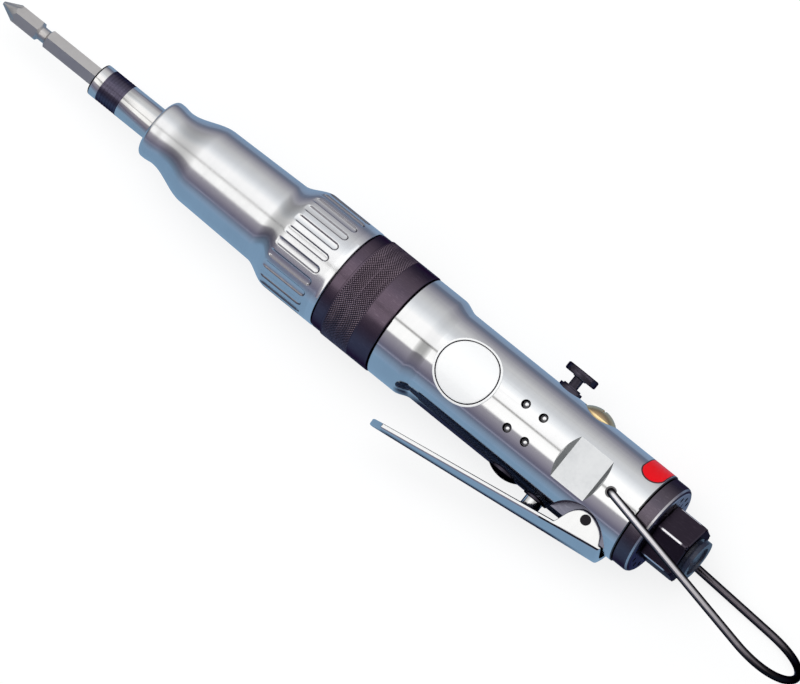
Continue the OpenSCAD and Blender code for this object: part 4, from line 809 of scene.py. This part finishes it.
# Badge: rim, dark ring and bare face, each a profile of (distance from the badge's centre,
# height over the grip)
BADGE_X, BADGE_TURN, BADGE_SIDES = 157.3, math.radians(4), 128
RIM_PROFILE = [(11.1, 0.05), (11.26, 0.1), (11.3, 0.2), (11.24, 0.34), (11.1, 0.42),
               (10.8, 0.44), (10.62, 0.4), (10.55, 0.3), (10.55, 0.05)]
RING_PROFILE = [(10.6, 0.04), (10.6, 0.2), (10.05, 0.2), (10.05, 0.04)]
FACE_PROFILE = [(10.12, 0.04), (10.12, 0.24), (10.0, 0.32), (9.4, 0.36),
                (6.0, 0.41), (2.0, 0.44), (0.3, 0.44)]


def badge_piece(name, profile, material, has_hole):
    """The profile turned about the badge's centre and wrapped on the round grip."""
    rings = []
    for dist, height in profile:
        ring = []
        for k in range(BADGE_SIDES):
            a = 2 * math.pi * k / BADGE_SIDES
            turn = BADGE_TURN + dist * math.sin(a) / GRIP_OUT
            out = GRIP_OUT + height
            ring.append((BADGE_X + dist * math.cos(a), out * math.sin(turn), out * math.cos(turn)))
        rings.append(ring)
    shape = skin(rings, closed_ends=not has_hole, loop=has_hole)
    return mesh_piece(name, shape, "housing", material)


rim = badge_piece("badge_rim", RIM_PROFILE, white_enamel, has_hole=True)
badge_piece("badge_ring", RING_PROFILE, black_and_painted_shade, has_hole=True)
badge_piece("badge_face", FACE_PROFILE, white_enamel, has_hole=False)
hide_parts("badge")


# Lever: a channel of bent sheet, its web away from the grip. Half a section runs from the rim
# of the flange down to the crease, and over the bowed web to its middle.
TIP_X, REAR_X, TIP_ROUND, EAR_FROM = 139.7, 224.2, 4.8, 206.4
TIP_HALF, REAR_HALF, SHEET = 5.8, 8.5, 1.3
TIP_RIM, REAR_RIM, TIP_WEB, REAR_WEB, TIP_ARCH, REAR_ARCH = -28.9, -15.3, -31.3, -20.6, 0.7, 3.9
FLARE, TIP_FLARE, TIP_HEIGHT, EAR_HEIGHT = 0.1, 1.1, 1.8, 7.6
TIP_DIP, TIP_DIP_LENGTH, TIP_LIFT, TIP_LIFT_LENGTH = 0.7, 1.6, 0.5, 1.4
END_LIFT = 0.8
EDGE_TIP, EDGE_REAR, CREASE_EDGE = 0.3, 0.75, 0.45
FLANGE_STEPS, WEB_STEPS, WEB_BOW = 7, 12, 1.8
# The rolled edge of the rim: shares of the edge's size, down from the rim and in from the flange
RIM_ROLL = ((0.0, 1.0), (0.12, 0.5), (0.45, 0.14))
CREASE_DROP, CREASE_IN, CREASE_BAND = 0.3 * CREASE_EDGE, 0.5 * CREASE_EDGE, 0.35 * CREASE_EDGE
# The sheet thins toward the tip: over THIN_LENGTH from THIN_TIP of its thickness, with the
# width from THIN_POINT, and to no more than THIN_DEEP of the section's depth
THIN_TIP, THIN_LENGTH, THIN_POINT, THIN_DEEP = 0.2, 5, 0.1, 0.6
TIP_TO, FULL_WIDTH_AT, LAST_PLAIN = TIP_X + TIP_ROUND, EAR_FROM - 1, EAR_FROM - 0.5
FLARE_MARGIN = 0.2
ROUND_STATIONS, EAR_STATIONS = 12, 70
NEAR_TIP_STEP, LONG_STEP, NEAR_EAR_STEP, NEAR_EAR = 0.15, 2.5, 0.5, 3
# Limits for the parts of a face's normal, and how far under the rim the inside begins (mm)
RIM_FACING, CREASE_FACING, FRONT_FACING, WALL_FACING, WEB_FACING = 0.25, -0.2, 0.3, 0.5, 0.3
CREASE_FROM, INSIDE_BELOW = EAR_FROM - 4, 0.4
EAR = ((206.8, -18.6), (207.8, -16.2), (209.0, -12.9), (210.0, -11.3), (211.2, -10.1),
       (212.4, -9.4), (213.8, -9.15), (215.2, -9.15), (216.6, -9.45), (218.0, -10.0),
       (219.4, -10.7), (220.6, -11.5), (221.6, -12.5), (222.3, -13.7), (222.9, -15.2),
       (REAR_X + 0.1, -15.9))


def round_share(t):
    """Share of the full width on a round end."""
    return math.sqrt(max(0.0, 1 - (1 - min(1.0, t)) ** 2))


def rim_at(x):
    """Y of the flange's rim, with the ear."""
    y = TIP_RIM + (REAR_RIM - TIP_RIM) * (x - TIP_X) / (REAR_X - TIP_X)
    for (x0, y0), (x1, y1) in zip(EAR, EAR[1:]):
        if x0 <= x <= x1:
            y = max(y, y0 + (y1 - y0) * (x - x0) / (x1 - x0))
    return y - TIP_DIP * (1 - round_share((x - TIP_X) / TIP_DIP_LENGTH))


def lever_ring(x, width_share):
    """Closed section of the sheet: its outer side, then back along its inner side."""
    t = (x - TIP_X) / (REAR_X - TIP_X)
    to_ear = min(1.0, (x - TIP_X) / (EAR_FROM - TIP_X))
    web = mix(TIP_WEB, REAR_WEB, t)
    web += TIP_LIFT * (1 - round_share((x - TIP_X) / TIP_LIFT_LENGTH))
    web += END_LIFT * (1 - round_share((REAR_X - x) / END_LIFT))
    arch = mix(TIP_ARCH, REAR_ARCH, t)
    half = mix(TIP_HALF, REAR_HALF, min(1.0, (x - TIP_X) / (FULL_WIDTH_AT - TIP_X)))
    half *= width_share
    height = mix(TIP_HEIGHT, EAR_HEIGHT, to_ear)
    edge = mix(EDGE_TIP, EDGE_REAR, to_ear)
    flare = TIP_FLARE if x < TIP_TO - FLARE_MARGIN else FLARE
    lean = flare * width_share
    rim_y = rim_at(x)
    crease = web + arch

    def flange(y):
        return half - lean * (height - (y - crease))

    soft = edge * min(1.0, width_share * 2)
    points = [(rim_y - down * edge, flange(rim_y) - inward * soft) for down, inward in RIM_ROLL]
    # Flange
    top = rim_y - edge
    bottom = crease + CREASE_EDGE
    for k in range(FLANGE_STEPS + 1):
        y = top + (bottom - top) * k / FLANGE_STEPS
        points.append((y, flange(y)))
    crease_from = len(points)
    # Crease and web
    foot = flange(crease) - CREASE_IN * width_share
    points.append((crease - CREASE_DROP, foot))
    for k in range(1, WEB_STEPS):
        share = 1 - k / WEB_STEPS
        points.append((web + (arch - CREASE_DROP) * share ** WEB_BOW, foot * share))
    outer = points + [(web, 0.0)]
    # Inner side
    thick = SHEET * min(1.0, THIN_POINT + (1 - THIN_POINT) * width_share,
                        THIN_TIP + (x - TIP_X) / THIN_LENGTH)
    thick = min(thick, THIN_DEEP * (rim_y - web))
    narrow = max(0.0, 1 - thick / half) if half else 0.0
    inner = [(rim_y, max(0.0, flange(rim_y) - max(thick, soft)))]
    inner += [(max(y, crease + thick), flange(y) * narrow)
              for y, z in points[len(RIM_ROLL):crease_from]]
    inner += [(y + thick, z * narrow) for y, z in outer[crease_from:]]
    section = outer + [(y, -z) for y, z in points[::-1]]
    section += [(y, -z) for y, z in inner] + inner[-2::-1]
    return [(x, y, z) for y, z in section]


def lever_rings():
    """Sections along the lever, close together at the round tip and at the ears."""
    rings = []
    for k in range(ROUND_STATIONS + 1):
        x = TIP_X + TIP_ROUND * (1 - math.cos(math.radians(90 / ROUND_STATIONS * k)))
        rings.append(lever_ring(x, round_share((x - TIP_X) / TIP_ROUND)))
    while x < LAST_PLAIN - 0.1:
        if x < TIP_TO + FLARE_MARGIN:
            x += NEAR_TIP_STEP
        elif x < EAR_FROM - NEAR_EAR:
            x += LONG_STEP
        else:
            x += NEAR_EAR_STEP
        rings.append(lever_ring(min(x, LAST_PLAIN), 1.0))
    for k in range(EAR_STATIONS + 1):
        rings.append(lever_ring(EAR_FROM + (REAR_X - EAR_FROM) * k / EAR_STATIONS, 1.0))
    return rings


def on_lever_edge(c, n):
    """On the cut rim, or on the crease beside the ears."""
    t = (c.x - TIP_X) / (REAR_X - TIP_X)
    crease = TIP_WEB + TIP_ARCH + (REAR_WEB + REAR_ARCH - TIP_WEB - TIP_ARCH) * t
    on_rim = n.y > RIM_FACING and c.x > TIP_TO
    on_crease = abs(c.y - crease - CREASE_BAND) < CREASE_BAND and n.y < CREASE_FACING
    return n.x < FRONT_FACING and (on_rim or (on_crease and c.x > CREASE_FROM))


def inside_lever(c, n):
    facing_in = c.z * n.z < 0 and abs(n.z) > WALL_FACING
    return facing_in or (n.y > WEB_FACING and c.y < rim_at(c.x) - INSIDE_BELOW)


lever = mesh_piece("lever_channel", skin(lever_rings(), closed_ends=True), "lever_body",
                   chrome, 60)
weld(lever)
# Painted shade: the cut rim and the crease beside the ears are dark
second_material(lever, painted_shade_on_lever_rim, on_lever_edge)
# Painted shade: the inside of the channel is dark, and the grip mirrors it as a dark band
second_material(lever, painted_shade_in_channel, inside_lever)
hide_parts("lever")


# Floor: white to the camera with the object's soft shadow, pale to matt surfaces, and to gloss
# a row of tones along Y (metres), blue under the tool and grey further off, with a patch of
# painted shade under the lever
FLOOR_SIZE, FLOOR_X, FLOOR_Z, FLOOR_SPAN = 14.0, 0.13, -19.8 * MM, 0.5
SHADOW_TONE, WHITE_GLOW, MATT_TONE, MIRROR_STRENGTH = (0.24, 0.24, 0.24), 0.785, (0.8, 0.8, 0.8), 1.25
FLOOR_STOPS = [
    (0.0, (118, 147, 174)), (0.036, (122, 142, 168)), (0.046, (122, 138, 160)),
    (0.052, (98, 108, 128)), (0.068, (100, 108, 126)), (0.08, (113, 115, 129)),
    (0.12, (133, 133, 145)), (0.24, (149, 149, 157)), (0.5, (160, 160, 166)),
]
# Painted shade: a dark patch painted on the floor under the lever, seen by gloss alone, as what
# the grip's underside mirrors of the lever. Each row is an axis from the floor's middle, where the
# patch begins and where it is full (metres).
PAINTED_LEVER_SHADE = lin(30, 35, 56)
PAINTED_LEVER_SHADE_SIDES = (("X", 0.004, 0.013), ("Y", -0.047, -0.038), ("Y", -0.008, -0.014),
                     ("X", 0.088, 0.074))


def seen_by_eye(t, light_path):
    """1 for what the camera sees, directly or through glass."""
    return t.math("MAXIMUM", light_path["Is Camera Ray"], light_path["Is Transmission Ray"])


bpy.ops.mesh.primitive_plane_add(size=FLOOR_SIZE, location=(FLOOR_X, 0, FLOOR_Z))
floor = bpy.context.object
floor.name = "floor"
t = material_tree("pale_floor")
light_path = t.nodes.new("ShaderNodeLightPath").outputs
place = t.parts(t.coord)
seen = t.nodes.new("ShaderNodeAddShader")
t.plug(seen.inputs[0], t.new("ShaderNodeBsdfDiffuse", Color=rgba(SHADOW_TONE)).outputs[0])
t.plug(seen.inputs[1], t.new("ShaderNodeEmission", Strength=WHITE_GLOW).outputs[0])
matt = t.new("ShaderNodeBsdfDiffuse", Color=rgba(MATT_TONE))
tones = t.ramp(t.spread(place["Y"], 0.0, FLOOR_SPAN), [(y / FLOOR_SPAN, c) for y, c in FLOOR_STOPS])
# The painted patch under the lever, which darkens the floor's tones for gloss
patch = 1.0
for axis, clear, full in PAINTED_LEVER_SHADE_SIDES:
    patch = t.math("MULTIPLY", patch, t.spread(place[axis], clear, full))
mirrored = t.new("ShaderNodeEmission", Color=t.blend(patch, tones, PAINTED_LEVER_SHADE),
                 Strength=MIRROR_STRENGTH)
unseen = t.choose(light_path["Is Glossy Ray"], matt.outputs[0], mirrored.outputs[0])
t.plug(t.out.inputs["Surface"], t.choose(seen_by_eye(t, light_path), unseen, seen.outputs[0]))
floor.data.materials.append(t.owner)


# World: white to the eye, plain light for matt surfaces, and for gloss a studio of two long
# soft boxes overhead, greying walls and pale blue near the horizon on the lever's side. The
# studio's tones go by the turn about X, in degrees from +Z toward -Y.
STUDIO_STOPS = [
    (-179, (120, 140, 165)), (-134, (128, 143, 165)), (-121, (98, 106, 126)),
    (-108, (126, 126, 138)), (-90, (162, 162, 168)), (-74, (191, 192, 194)),
    (-52, (207, 210, 214)), (-38, (234, 237, 240)), (-29, (254, 254, 254)),
    (-3.6, (250, 250, 250)), (-1.9, (150, 149, 148)), (0.6, (150, 149, 148)),
    (2.2, (253, 253, 252)), (26.5, (253, 253, 252)), (29, (152, 150, 157)),
    (45, (127, 124, 137)), (57, (100, 98, 116)), (61, (96, 98, 118)), (63.5, (150, 152, 172)),
    (66, (94, 101, 122)), (76, (118, 136, 158)), (88, (125, 151, 178)), (150, (116, 144, 172)),
]
STUDIO_STRENGTH, PLAIN_TONE, PLAIN_STRENGTH = 1.25, (0.95, 0.97, 1.0), 0.6
# Each fade is where it begins and ends, then its value at both ends. FRONT and REAR go by the
# direction's X, LOW and FAR by the turn in radians.
FRONT_FADE, REAR_FADE = (-0.92, -0.42, 0.48, 1.0), (-0.12, 0.5, 1.0, 0.0)
LOW_SIDE, FAR_SIDE = (-0.06, 0.02, 0.0, 1.0), (0.95, 0.4, 0.12, 1.0)
SIDE_DIM, ALL_DIM = 0.55, 0.05

world = bpy.data.worlds.new("studio")
bpy.context.scene.world = world
t = Tree(world, "ShaderNodeOutputWorld", "Generated")
toward = t.parts(t.coord)
turn = t.math("ARCTAN2", t.math("MULTIPLY", toward["Y"], -1.0), toward["Z"])
tones = t.ramp(t.math("ADD", t.math("DIVIDE", turn, 2 * math.pi), 0.5),
               [(degrees / 360 + 0.5, c) for degrees, c in STUDIO_STOPS])
side = t.math("MULTIPLY", t.spread(turn, *LOW_SIDE), t.spread(turn, *FAR_SIDE))
side = t.math("ADD", t.math("MULTIPLY", side, SIDE_DIM), ALL_DIM)
dimmed = t.math("MULTIPLY", side, t.math("SUBTRACT", 1.0, t.spread(toward["X"], *REAR_FADE)))
fade = t.math("MULTIPLY", t.spread(toward["X"], *FRONT_FADE), t.math("SUBTRACT", 1.0, dimmed))
studio = t.new("ShaderNodeBackground", Color=tones,
               Strength=t.math("MULTIPLY", fade, STUDIO_STRENGTH))
plain = t.new("ShaderNodeBackground", Color=rgba(PLAIN_TONE), Strength=PLAIN_STRENGTH)
backdrop = t.new("ShaderNodeBackground", Color=(1, 1, 1, 1))
light_path = t.nodes.new("ShaderNodeLightPath").outputs
unseen = t.choose(light_path["Is Glossy Ray"], plain.outputs[0], studio.outputs[0])
t.plug(t.out.inputs["Surface"], t.choose(seen_by_eye(t, light_path), unseen, backdrop.outputs[0]))

# One wide soft lamp over the far side, which no gloss mirrors
LAMP_AT, LAMP_AIM = Vector((0.05, 0.25, 1.1)), Vector((0.12, 0, 0))
LAMP_LENGTH, LAMP_WIDTH, LAMP_POWER = 1.2, 0.7, 7.0
lamp_data = bpy.data.lights.new("overhead", "AREA")
lamp_data.shape = "RECTANGLE"
lamp_data.size = LAMP_LENGTH
lamp_data.size_y = LAMP_WIDTH
lamp_data.energy = LAMP_POWER
lamp = link_object("overhead", lamp_data)
lamp.location = LAMP_AT
lamp.rotation_euler = (LAMP_AIM - LAMP_AT).to_track_quat("-Z", "Y").to_euler()
lamp.visible_glossy = False


# Camera: it looks LEAN_ANGLE from the rear of square to the axis, rolled as the photograph is
LEAN_ANGLE, ROLL = math.radians(13), math.radians(38.9)
DISTANCE, PIXELS_PER_MM, FRAME_W, SENSOR_W, FAR_CLIP = 3.0, 3.17, 800, 36, 50
AIM_X, AIM_Y = 130.74, -4.9
aim = Vector((AIM_X, AIM_Y, 0)) * MM
back = Vector((math.sin(LEAN_ANGLE), 0, math.cos(LEAN_ANGLE)))
axis_on_screen = Vector((math.cos(LEAN_ANGLE), 0, -math.sin(LEAN_ANGLE)))
lever_side = Vector((0, -1, 0))
right = math.cos(ROLL) * axis_on_screen - math.sin(ROLL) * lever_side
up = -(math.sin(ROLL) * axis_on_screen + math.cos(ROLL) * lever_side)
camera_data = bpy.data.cameras.new("camera")
camera_data.sensor_width = SENSOR_W
camera_data.lens = PIXELS_PER_MM * DISTANCE / MM * SENSOR_W / FRAME_W
camera_data.clip_end = FAR_CLIP
camera = link_object("camera", camera_data)
camera.matrix_world = Matrix((
    (right.x, up.x, back.x, aim.x + back.x * DISTANCE),
    (right.y, up.y, back.y, aim.y + back.y * DISTANCE),
    (right.z, up.z, back.z, aim.z + back.z * DISTANCE),
    (0, 0, 0, 1)))
bpy.context.scene.camera = camera
bpy.context.scene.view_settings.view_transform = "Standard"
